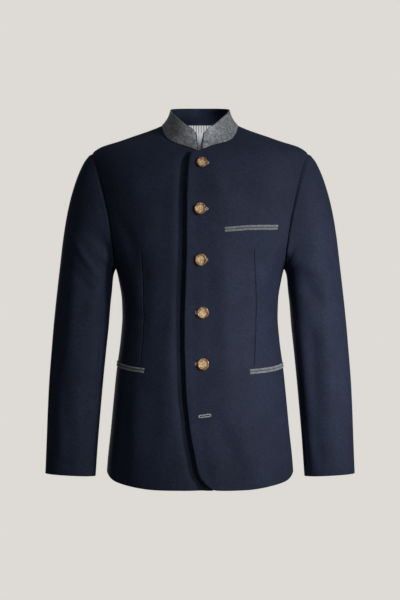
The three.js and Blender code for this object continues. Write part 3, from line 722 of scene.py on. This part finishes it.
def slotBlocks():
    # a tall block through the closing front for every buttonhole
    bm = bmesh.new()
    for hole in holes:
        turned = placed(hole["x"], hole["z"], 0, hole["tilt"])
        outline = slotOutline(holeLook["length"], holeLook["width"], holeLook["cornerCells"])
        ring = bmesh.ops.create_circle(bm, cap_ends=True, segments=len(outline), radius=metre)["verts"]
        for vert, point in zip(ring, outline):
            vert.co = turned @ ((point + Vector((0, 0, -holeLook["reach"]))) * metre)
        grown = bmesh.ops.extrude_face_region(bm, geom=[ring[0].link_faces[0]])
        up = (turned.to_3x3() @ Vector((0, 0, 1))) * 2 * holeLook["reach"] * metre
        bmesh.ops.translate(bm, vec=up, verts=[
            part for part in grown["geom"] if isinstance(part, bmesh.types.BMVert)])
    bmesh.ops.recalc_face_normals(bm, faces=bm.faces)
    return bm


backRows = backPanel()
panels = rowsOf("name node net side ahead material flat area", [
    ["closingFront", "front_left", frontPanel(overEdge, overCorner, "over"), 1, -1, navyWoolOver,
     (0.33, 0.76), 0.19],
    ["underFront", "front_right", frontPanel(underEdge, underCorner, "under"), -1, -1, navyWoolUnder,
     (0.33, 0.76), 0.19],
    ["leftBack", "back_left", backRows, 1, 1, navyWool, (0.29, 0.76), 0.165],
    ["rightBack", "back_right", backRows, -1, 1, navyWool, (0.29, 0.76), 0.165],
])
for row in panels:
    bite = slotBlocks() if row["node"] == "front_left" else None
    makeCloth(row["name"], row["node"], row["net"], row["side"], (0, row["ahead"], 0), cut["wall"],
              row["material"], "navy_wool", bite, flat=row["flat"], held="hung", area=row["area"])
print("stage: fronts and backs")


# Sleeves.
sleeveCut = {
    "headRings": 5.0, "stepCells": 7, "turnCells": 5, "frontSeam": 144.0, "backSeam": -108.0,
    "gap": 0.15, "seam": 0.03, "roll": 1.0, "foldFrom": 1.5, "foldTo": 13.4, "foldFade": 1.2,
    "headTurn": 125, "headFade": 40, "puff": 0.4, "puffFrom": 0.55, "puffTo": 4, "puffFade": 3,
    "ridge": 1.0, "ridgeStep": 0.42, "ridgeWide": 0.24, "rollHead": 0.25, "rollStep": 0.16,
}
sleeveRings = rowsOf("step outX outZ inX inZ y deep power", [
    [0, 221, -57, 173.5, -294, 3, 66, 2], [1, 233.5, -69, 175, -297, 2.5, 67.5, 2],
    [2, 247, -95, 176, -300, 2, 68.5, 2], [3, 260, -135, 177, -304, 1, 68.5, 2.05],
    [4, 270, -180, 178, -309, 0.5, 68, 2.05], [5, 278, -230, 179.3, -318, 0, 67, 2.1],
    [6, 285, -285, 180.5, -335, -1, 65, 2.1], [7, 292, -340, 183, -362, -3, 62, 2.15],
    [8, 298, -400, 186.5, -408, -6, 58, 2.15], [9, 302, -460, 192, -462, -10, 54, 2.2],
    [10, 306, -520, 197.5, -520, -15, 50, 2.2], [11, 309, -580, 202.5, -578, -19, 46, 2.2],
    [12, 311.8, -640, 207.5, -640, -23, 42.5, 2.2], [13, 315, -709, 212.5, -714.5, -27, 39.5, 2.2],
])
ringCurves = {name: curveThrough(sleeveRings, "step", name)
              for name in ("outX", "outZ", "inX", "inZ", "y", "deep", "power")}
# Folds of a sleeve: turn in degrees and step at both ends, bow, breadth in degrees, depth in mm.
sleeveFolds = {hand: rowsOf("t1 s1 t2 s2 bow wide deep", rows) for hand, rows in {
    "both": [
        [18, 2, 6, 7, -6, 15, 1.6], [-40, 2, -62, 6, 8, 18, -2], [-80, 3, -96, 7.2, 6, 15, 1.8],
        [-150, 5.4, -96, 8, 8, 15, -2.6], [-160, 6.6, -104, 8.8, 8, 13, 2.2],
        [-140, 8, -84, 9.8, 6, 14, -2.2], [-60, 8.4, -50, 12.6, 6, 16, 1.7],
        [-118, 9.4, -122, 12.6, 4, 15, -1.8], [170, 4, 150, 7.6, 5, 14, 1.2],
    ],
    "left": [
        [128, 1.2, 70, 4.6, 8, 13, -2.2], [146, 2, 96, 5.6, 6, 12, 1.8], [60, 1.5, 30, 6.2, 8, 17, -1.8],
        [118, 4.4, 58, 6.4, 6, 12, 2.2], [116, 5.8, 60, 7.9, 7, 12, -2.2], [118, 6.8, 76, 9, 6, 12, 1.7],
        [66, 5.6, 86, 12.4, 4, 15, 2.4], [104, 8, 112, 11.2, 3, 12, -1.8],
        [130, 3, 130, 12.8, 0, 17, 4.2], [120, 11.4, 102, 13, 2, 13, -2],
        [58, 8.2, 48, 12.8, -4, 14, -1.6], [10, 7.8, 4, 12.2, 5, 16, 1.6],
    ],
    "right": [
        [128, 1.2, 78, 3.8, 8, 13, -2.4], [146, 2, 100, 4.4, 6, 12, 1.8], [56, 1.2, 40, 4.4, 6, 17, -2],
        [58, 4.7, 118, 5.7, 4, 12, 2.6], [62, 5.9, 112, 6.8, 4, 11, -1.8],
        [120, 6.4, 82, 8.6, 7, 12, 1.8], [68, 5.8, 74, 9.6, 3, 13, 2.6],
        [92, 8.4, 100, 12.2, -4, 15, 1.6], [122, 3, 122, 12.6, 0, 18, 2.2],
        [56, 10.7, 72, 12.7, 3, 12, 2], [112, 10, 118, 12.8, 3, 11, -1.6], [40, 7.6, 34, 11, 3, 13, -1.6],
        [10, 7.8, 4, 12.2, 5, 16, 1.4],
    ],
}.items()}


def ringPoint(step, turn):
    at = {name: curve(step) for name, curve in ringCurves.items()}
    power = 2 / at["power"]
    s, c = math.sin(turn), math.cos(turn)
    out = math.copysign(abs(c) ** power, c)
    ahead = math.copysign(abs(s) ** power, s)
    share = (1 + out) / 2
    return Vector((mix(at["inX"], at["outX"], share), at["y"] - at["deep"] * ahead,
                   mix(at["inZ"], at["outZ"], share)))


def armholeMark(turn):
    way = abs(turn) / math.pi * cut["armholeCells"]
    i = min(int(way), cut["armholeCells"] - 1)
    a, b = armholePlaces[i], armholePlaces[i + 1]
    place = (mix(a[0], b[0], way - i), mix(a[1], b[1], way - i))
    return (math.pi - place[0], place[1]) if turn < 0 else place


leads = {}


def sleevePoint(step, turn):
    share = 1 - ease(step / sleeveCut["headRings"])
    point = ringPoint(step, turn)
    if share > 0:
        if turn not in leads:
            lead = bodyPoint(*armholeMark(turn)) - ringPoint(0, turn)
            lead.x += sleeveCut["gap"]
            leads[turn] = lead
        point += leads[turn] * share
    return point


def sleeveNormal(step, turn):
    low = max(step - 0.02, 0.0)
    along = sleevePoint(step, turn + 0.02) - sleevePoint(step, turn - 0.02)
    down = sleevePoint(low + 0.04, turn) - sleevePoint(low, turn)
    return along.cross(down).normalized()


def sleeveFold(rows, step, turn):
    high = sleeveBend["stepHigh"]
    return sum(foldDepth(fold, sleeveBend, fold["t2"] - fold["t1"], (fold["s2"] - fold["s1"]) * high,
                         (math.degrees(turn) - fold["t1"] + 180) % 360 - 180, (step - fold["s1"]) * high)
               for fold in rows)


def sleevePiece(name, hand, node, startTurn, endTurn, side, outward, flat, area):
    look = sleeveCut
    cells = round((endTurn - startTurn) / look["turnCells"])
    points = []
    for j in range((len(sleeveRings) - 1) * look["stepCells"] + 1):
        step = j / look["stepCells"]
        unbound = ease(step / look["foldFrom"]) * ease((look["foldTo"] - step) / look["foldFade"])
        puff = look["puff"] * ease(step / look["puffFrom"]) * ease((look["puffTo"] - step) / look["puffFade"])
        ridge = look["ridge"] * math.exp(-((step - look["ridgeStep"]) / look["ridgeWide"]) ** 2)
        line = []
        for i in range(cells + 1):
            degrees = mix(startTurn, endTurn, i / cells)
            turn = math.radians(degrees - 360 if degrees > 180 else degrees)
            edge = math.radians(min(degrees - startTurn, endTurn - degrees)) * ringCurves["deep"](step)
            head = ease((look["headTurn"] - abs(math.degrees(turn))) / look["headFade"])
            off = sleeveFold(sleeveFolds["both"] + sleeveFolds[hand], step, turn) * unbound
            off -= look["roll"] * nearSeam(edge)
            off += head * (puff + ridge)
            off -= look["roll"] * mix(1, look["rollHead"], head) * math.exp(-(step / look["rollStep"]) ** 2)
            line.append(sleevePoint(step, turn) + sleeveNormal(step, turn) * off)
        points.append(line)
    across, down = lengthsOf(points)
    marks = [[(across[j][i] - across[j][cells // 2], down[j][i], point.x, point.z)
              for i, point in enumerate(line)] for j, line in enumerate(points)]
    drawIn(points, left=look["seam"], right=look["seam"])
    makeCloth(name, node, (points, marks), side, (outward * side, 0, 0), cut["wall"], navyWool, "navy_wool",
              flat=flat, held="hung", area=area)


for hand, side in (("left", 1), ("right", -1)):
    sleevePiece(hand + "TopSleeve", hand, f"sleeve_{hand}_top", sleeveCut["backSeam"], sleeveCut["frontSeam"],
                side, 1, (0.3, 0.67), 0.145)
    sleevePiece(hand + "UnderSleeve", hand, f"sleeve_{hand}_under", sleeveCut["frontSeam"],
                360 + sleeveCut["backSeam"], side, -1, (0.16, 0.52), 0.055)
print("stage: sleeves")


# Collar.
collarCut = {
    "felt": (1.8, 0.6), "inner": (1.2, 0.4), "gap": 0.3, "high": 42, "seat": 0.7, "bow": -2.5,
    "cells": 60, "rows": 12, "nudgeEnds": 10,
    "endLeft": 4.2, "endRight": 5.5, "nudgeLeft": -1.9, "nudgeRight": -1.0,
}
collarTop = rowsOf("way x y z", [
    [0, 10, -80, -20.5], [0.08, 15.5, -78, -13], [0.2, 28.5, -70, -3.5], [0.35, 45, -49, 12.5],
    [0.5, 56.5, -21, 25.5], [0.6, 59.2, 3, 32.5], [0.7, 56.5, 25, 36.5], [0.85, 34, 50, 40], [1, 0, 60, 41],
])
collarTopAt = [curveThrough(collarTop, "way", name) for name in ("x", "y", "z")]


def collarHalf(end, nudge, stand, side):
    # posts from the gap to the centre back, each a foot on the neckline and a top
    first = fromX(end, curveThrough(neckline, "x", "z")(end))
    feet = []
    for turn, z in [first] + frontNeckPlaces[2:] + backNeckPlaces[:-1][::-1]:
        foot = panelPoint(stand, turn, z)
        level = Vector((-foot.y, foot.x, 0)).normalized()
        off = level.cross(bodyNormal(turn, z)).normalized()
        feet.append(foot + (off if off.z >= 0 else -off) * collarCut["seat"])
    posts = []
    for k, (i, share) in enumerate(evenly(feet, collarCut["cells"])):
        way = k / collarCut["cells"]
        top = Vector([at(way) for at in collarTopAt])
        top.x += nudge * ease(1 - way * collarCut["nudgeEnds"])
        posts.append([Vector((point.x * side, point.y, point.z))
                      for point in (feet[i].lerp(feet[i + 1], share), top)])
    return posts


collarPosts = collarHalf(collarCut["endLeft"], collarCut["nudgeLeft"], "over", 1)
collarPosts += collarHalf(collarCut["endRight"], collarCut["nudgeRight"], "under", -1)[:-1][::-1]
for _ in range(3):
    # rounds the polygon of the foot line a little, ends held
    feet = [post[0] for post in collarPosts]
    for k in range(1, len(feet) - 1):
        collarPosts[k][0] = feet[k] * 0.5 + (feet[k - 1] + feet[k + 1]) * 0.25


def makeCollar(name, node, inward, lowest, highest, past, wall, material, slotName, flat, area):
    ends = len(collarPosts) - 1
    ways = distances([post[0] for post in collarPosts])

    def spot(i, j):
        height = mix(lowest, highest, j / collarCut["rows"])
        foot, top = collarPosts[i]
        before, after = collarPosts[max(i - 1, 0)], collarPosts[min(i + 1, ends)]
        along = (after[0] - before[0]) + (after[1] - before[1])
        normal = along.cross(top - foot).normalized()
        point = foot.lerp(top, height) + normal * (collarCut["bow"] * 4 * height * (1 - height) - inward)
        if i in (0, ends):
            point += along.normalized() * (past if i else -past)
        return point, (ways[i], height * collarCut["high"], point.x, point.z)
    makeCloth(name, node, netOf(collarCut["rows"], ends, spot), 1, (0, 1, 0), wall, material, slotName,
              flat=flat, held="stretched", area=area)


makeCollar("collarFelt", "collar_outer", 0.0, 0.0, 1.0, 0.0, collarCut["felt"], greyFelt, "grey_felt",
           (0.54, 0.045), 0.021)
makeCollar("collarInside", "collar_inner", collarCut["felt"][0] + collarCut["gap"], -0.1, 1.02, 1.4,
           collarCut["inner"], navyWool, "navy_wool", (0.53, 0.044), 0.02)

# the tab behind the collar gap: it leans in and is rounder towards its top
tabCut = {
    "left": -16, "right": 18, "topZ": -18.5, "sag": 3, "bottomZ": -66, "cells": 16, "rows": 16,
    "wall": (1.0, 0.3), "lean": (-76.1, -70.1), "leanZ": -58, "leanHigh": 38,
    "round": (240, 75), "roundZ": -66, "roundHigh": 45,
}


def tabSpot(i, j):
    share = i / tabCut["cells"]
    x = mix(tabCut["left"], tabCut["right"], share)
    z = mix(tabCut["topZ"] - tabCut["sag"] * 4 * share * (1 - share), tabCut["bottomZ"], j / tabCut["rows"])
    radius = mix(*tabCut["round"], (z - tabCut["roundZ"]) / tabCut["roundHigh"])
    y = mix(*tabCut["lean"], (z - tabCut["leanZ"]) / tabCut["leanHigh"]) + x * x / radius
    return Vector((x, y, z)), (x, z, x, z)


makeCloth("collarTab", "collar_tab", netOf(tabCut["rows"], tabCut["cells"], tabSpot), 1, (0, -1, 0),
          tabCut["wall"], tabCloth, "striped_lining", flat=(0.036, 0.046), held="laid")

# the striped lining inside the back neck
liningCut = {"topX": 58, "bottomX": 100, "top": -1, "bottom": -118, "in": 5.2, "fullness": 1.1,
             "cells": 60, "rows": 30, "wall": (1.0, 0.3)}


def liningSpot(i, j):
    down = j / liningCut["rows"]
    z = mix(liningCut["top"], liningCut["bottom"], down)
    edge = turnAt(mix(liningCut["topX"], liningCut["bottomX"], down), z)
    away = mix(-edge, edge, i / liningCut["cells"])
    turn = -math.pi - away if away < 0 else math.pi - away
    point = bodyPoint(turn, z) - bodyNormal(turn, z) * liningCut["in"]
    return point, (point.x * liningCut["fullness"], z, point.x, z)


makeCloth("neckLining", "lining_back_neck", netOf(liningCut["rows"], liningCut["cells"], liningSpot), 1,
          (0, 1, 0), liningCut["wall"], liningCloth, "striped_lining",
          flat=(0.21, 0.12), held="laid", rests_on=["leftBack", "rightBack"], area=0.021)
print("stage: collar and lining")


# Pocket jets.
jetCut = {
    "width": 4.65, "parting": 0.42, "off": 0.25, "edge": 0.5, "crown": 1.7, "cells": 48, "rows": 8,
    "wall": (0.7, 0.25), "ends": 30, "endCrown": 0.6, "cloth": 0.0056,
}
pockets = rowsOf("name node mouth stand side lean length", [
    ["breastJet", "breast_pocket", [[11.2, -216.8], [26, -212.6], [45.4, -211.2]], "over", 1, 0, 0.116],
    ["leftJet", "pocket_left", [[31.5, -500.5], [47, -498], [68, -493], [86.5, -488.4]],
     "over", 1, 0.5, 0.138],
    ["rightJet", "pocket_right", [[36.8, -498.5], [49, -496], [68, -490.6], [86.5, -485.4]],
     "under", -1, 0.5, 0.122],
])


def jetPiece(pocket, word, up):
    path = pathThrough(rowsOf("turn z", pocket["mouth"]), fromTurn)

    def spot(i, j):
        share, way = j / jetCut["rows"], i / jetCut["cells"]
        away = up * (jetCut["parting"] + jetCut["width"] * share)
        crown = jetCut["off"] + mix(jetCut["edge"], jetCut["crown"], (1 - (2 * share - 1) ** 2) ** 0.7)
        crown *= mix(jetCut["endCrown"], 1, ease(min(way, 1 - way) * jetCut["ends"]))
        turn, z = path(way)
        point = panelPoint(pocket["stand"], turn, z + away, -crown)
        return point, (way * pocket["length"] / metre, away, point.x, point.z)
    makeCloth(pocket["name"] + word.capitalize(), f"{pocket['node']}_{word}",
              netOf(jetCut["rows"], jetCut["cells"], spot), pocket["side"],
              (pocket["side"] * pocket["lean"], -1, 0), jetCut["wall"], jetFelt, "grey_felt",
              flat=(pocket["length"], 0.01), held="laid", area=pocket["length"] * jetCut["cloth"])


for word, up in (("upper", 1), ("lower", -1)):
    for pocket in pockets:
        jetPiece(pocket, word, up)
print("stage: pockets")


# Buttons, thread and buttonholes.
buttonLook = {"radius": 12.0, "sides": 48, "stand": 1.2, "holeRadius": 1.1, "holeAway": 2.6, "turned": 0.3}
buttonProfile = [
    (0, 0), (6.4, 0), (9.2, 0.35), (11.1, 1.2), (11.9, 2.2), (11.95, 2.9), (11.6, 3.7), (10.9, 4.3),
    (10.0, 4.55), (9.2, 4.35), (8.7, 3.8), (8.3, 3.3), (7.4, 3.0), (4.5, 2.8), (0, 2.75),
]
stemLook = {
    "foot": -4.2, "footRadius": 1.25, "from": -4.0, "radius": 1.2, "ridge": 0.14, "turns": 12, "sides": 14,
    "strand": 0.28, "barHeight": 2.95, "barPast": 0.5, "barWide": 0.34, "barCrown": 0.42,
}


def latheParts(profile, sides):
    bm = bmesh.new()
    line = [bm.verts.new((radius * metre, 0, height * metre)) for radius, height in profile]
    edges = [bm.edges.new(pair) for pair in zip(line, line[1:])]
    bmesh.ops.spin(bm, geom=line + edges, cent=(0, 0, 0), axis=(0, 0, 1), angle=2 * math.pi,
                   steps=sides, use_merge=True)
    bmesh.ops.remove_doubles(bm, verts=bm.verts, dist=1e-6)
    bmesh.ops.recalc_face_normals(bm, faces=bm.faces)
    return bm


def makeButton(index, row):
    button = pieceFrom(f"hornButton{index}", latheParts(buttonProfile, buttonLook["sides"]))
    drills = bmesh.new()
    away, radius = buttonLook["holeAway"], buttonLook["holeRadius"] * metre
    for a in range(4):
        turn = Matrix.Rotation(quarter * a + quarter / 2, 4, "Z")
        bmesh.ops.create_cone(drills, cap_ends=True, segments=16, radius1=radius, radius2=radius, depth=0.02,
                              matrix=turn @ Matrix.Translation((away * metre, 0, 0)))
    cutAway(button, drills)
    # the share of the radius at every vertex, which the horn's painted highlight reads
    rim = button.data.attributes.new("rim", "FLOAT", "POINT")
    for vertex in button.data.vertices:
        rim.data[vertex.index].value = math.hypot(vertex.co.x, vertex.co.y) / (buttonLook["radius"] * metre)
    seat = placed(row["x"], row["z"], buttonLook["stand"], buttonLook["turned"] * math.sin(index * 2.3))
    seat = seat @ Matrix.Scale(row["size"], 4)
    button.data.transform(seat)
    for polygon in button.data.polygons:
        polygon.use_smooth = True
    dress(button, brownHorn, "horn", f"button_{index}")

    # stem of wound thread and the two bars of thread over the holes
    turns = stemLook["turns"]
    wound = [(stemLook["radius"] + stemLook["ridge"] * (-1) ** k, mix(stemLook["from"], 0.0, k / turns))
             for k in range(turns + 1)]
    foot = [(0.0, stemLook["foot"]), (stemLook["footRadius"], stemLook["foot"])]
    bm = latheParts(foot + wound + [(0.0, 0.0)], stemLook["sides"])
    inner = away * math.cos(quarter / 2)
    for across in (-inner, inner):
        for strand in (-stemLook["strand"], stemLook["strand"]):
            bars = bmesh.ops.create_uvsphere(bm, u_segments=8, v_segments=6, radius=1.0)
            bmesh.ops.transform(bm, verts=bars["verts"], matrix=Matrix.Translation(
                (0, (across + strand) * metre, stemLook["barHeight"] * metre)) @ Matrix.Diagonal(
                ((inner + stemLook["barPast"]) * metre, stemLook["barWide"] * metre,
                 stemLook["barCrown"] * metre, 1)))
    stem = pieceFrom(f"buttonThread{index}", bm)
    stem.data.transform(seat)
    dress(stem, greyThread, "thread", f"thread_{index}")


for index, row in enumerate(buttons, 1):
    makeButton(index, row)


def addStitch(bm, seat, *sizes):
    bmesh.ops.create_icosphere(bm, subdivisions=1, radius=1.0,
                               matrix=seat @ Matrix.Diagonal([size * metre for size in sizes] + [1]))


def addHoleStitch(hole, across, up, reach):
    x = hole["x"] + across * math.cos(hole["tilt"]) - up * math.sin(hole["tilt"])
    z = hole["z"] + across * math.sin(hole["tilt"]) + up * math.cos(hole["tilt"])
    addStitch(stitchMesh, placed(x, z, holeLook["height"], hole["tilt"]),
              holeLook["thick"], reach, holeLook["crown"])


# worked edge of every buttonhole: stitches side by side along the slot, and a bar tack over each end
stitchMesh = bmesh.new()
for hole in holes:
    half = holeLook["length"] / 2
    count = round(holeLook["length"] / holeLook["spacing"])
    for k in range(count + 1):
        across = mix(-half, half, k / count)
        reach = holeLook["stitch"] / 2 * random.uniform(0.92, 1.06)
        for up in (-1, 1):
            addHoleStitch(hole, across, up * (holeLook["width"] / 2 + reach), reach)
    for end in (-1, 1):
        for k in range(3):
            addHoleStitch(hole, end * (half + holeLook["tack"] * k), 0,
                          holeLook["stitch"] + holeLook["width"] / 2)
dress(pieceFrom("buttonholeStitches", stitchMesh), greyThread, "thread")

# a row of small stitches keeps the front edge flat
edgeRow = {"in": 4.5, "count": 214, "height": 0.05, "size": (1.0, 0.32, 0.3)}
edgeMesh = bmesh.new()
edgePlaces = spaced(pathThrough(overEdge + overCorner[1:], fromX), edgeRow["count"])
for before, after in zip(edgePlaces[2:], edgePlaces[3:-6]):
    first, second = (panelPoint("over", *place) for place in (before, after))
    along = (second - first).normalized()
    inward = bodyNormal(*before).cross(along).normalized()
    if inward.x < 0:
        inward.negate()
    spot = first + inward * edgeRow["in"]
    addStitch(edgeMesh, placed(spot.x, spot.z, edgeRow["height"], along=along), *edgeRow["size"])
dress(pieceFrom("frontEdgeStitches", edgeMesh), navyThread, "thread")
print("stage: buttons")


# Floor, light, camera.
floorLook = {"z": -1.15, "size": 1.2, "pale": "#f6f4f1", "fadeFrom": 0.1, "fadeTo": 1.1, "clear": 0.65}
bm = bmesh.new()
bmesh.ops.create_circle(bm, cap_ends=True, cap_tris=True, segments=96, radius=floorLook["size"])
bmesh.ops.translate(bm, verts=bm.verts, vec=(0, 0, floorLook["z"]))
floor = pieceFrom("studioFloor", bm)
material, tree, shader, object3d = newMaterial("paintedFloor")
level = addNode(tree, "VectorMath", {0: object3d, 1: (1, 1, 0)}, operation="MULTIPLY")[0]
away = addNode(tree, "VectorMath", {0: level}, operation="LENGTH")["Value"]
fade = addNode(tree, "MapRange", {
    "Value": away, "From Min": floorLook["fadeFrom"], "From Max": floorLook["fadeTo"],
    "To Min": floorLook["clear"]}, interpolation_type="SMOOTHSTEP")["Result"]
fillIn(tree, shader, {"Base Color": floorLook["pale"], "Roughness": 0.9, "Specular IOR Level": 0.1})
clear = addNode(tree, "BsdfTransparent", {})[0]
both = addNode(tree, "MixShader", {0: fade, 1: shader.outputs[0], 2: clear})[0]
fillIn(tree, tree.nodes["Material Output"], {"Surface": both})
floor.data.materials.append(material)

# softboxes aimed at the middle, a soft spot on the +X half, and a narrow one through the neck opening
middle = (0, 0, -0.36)
lights = rowsOf("name kind at to look", [
    ["keySoftbox", "AREA", (1.8, -1.45, 0.2), middle, {"energy": 27.0, "size": 0.4}],
    ["fillSoftbox", "AREA", (-0.7, -4.4, 0.8), middle,
     {"energy": 4.0, "size": 2.0, "color": colour("#f2f6ff")[:3]}],
    ["topSoftbox", "AREA", (0.4, -0.8, 2.6), middle, {"energy": 7.0, "size": 1.6}],
    ["backSoftbox", "AREA", (-0.9, 3.4, -0.3), middle, {"energy": 34.0, "size": 2.2}],
    ["frontSpot", "SPOT", (1.62, -2.6, -0.05), (0.24, 0.0, -0.44),
     {"energy": 240.0, "spot_size": math.radians(17.5), "spot_blend": 1.0, "shadow_soft_size": 0.2}],
    ["neckSpot", "SPOT", (0.02, -1.9, 0.12), (0.002, 0.06, -0.009),
     {"energy": 115.0, "spot_size": math.radians(2.7), "spot_blend": 0.8, "shadow_soft_size": 0.02}],
])
for light in lights:
    data = bpy.data.lights.new(light["name"], light["kind"])
    for key, value in light["look"].items():
        setattr(data, key, value)
    lamp = bpy.data.objects.new(light["name"], data)
    lamp.location = light["at"]
    lamp.rotation_euler = (Vector(light["to"]) - lamp.location).to_track_quat("-Z", "Y").to_euler()
    bpy.context.collection.objects.link(lamp)

world = bpy.data.worlds.new("paleStudio")
bpy.context.scene.world = world
world.use_nodes = True
sky = world.node_tree
backdrop = sky.nodes["Background"]
fillIn(sky, backdrop, {"Color": "#dedad5"})
glow = addNode(sky, "Background", {"Color": "#e6e8ee", "Strength": 0.1})[0]
seen = addNode(sky, "LightPath", {})["Is Camera Ray"]
chosen = addNode(sky, "MixShader", {0: seen, 1: glow, 2: backdrop.outputs[0]})[0]
fillIn(sky, sky.nodes["World Output"], {"Surface": chosen})

cameraData = bpy.data.cameras.new("studioCamera")
cameraData.lens = 120
cameraData.sensor_width = 36
cameraData.clip_end = 50
camera = bpy.data.objects.new("studioCamera", cameraData)
camera.location = (0, -4.1, -0.357)
camera.rotation_euler = (quarter, 0, 0)
bpy.context.collection.objects.link(camera)
bpy.context.scene.camera = camera
bpy.context.scene.view_settings.view_transform = "Standard"
print("stage: studio")
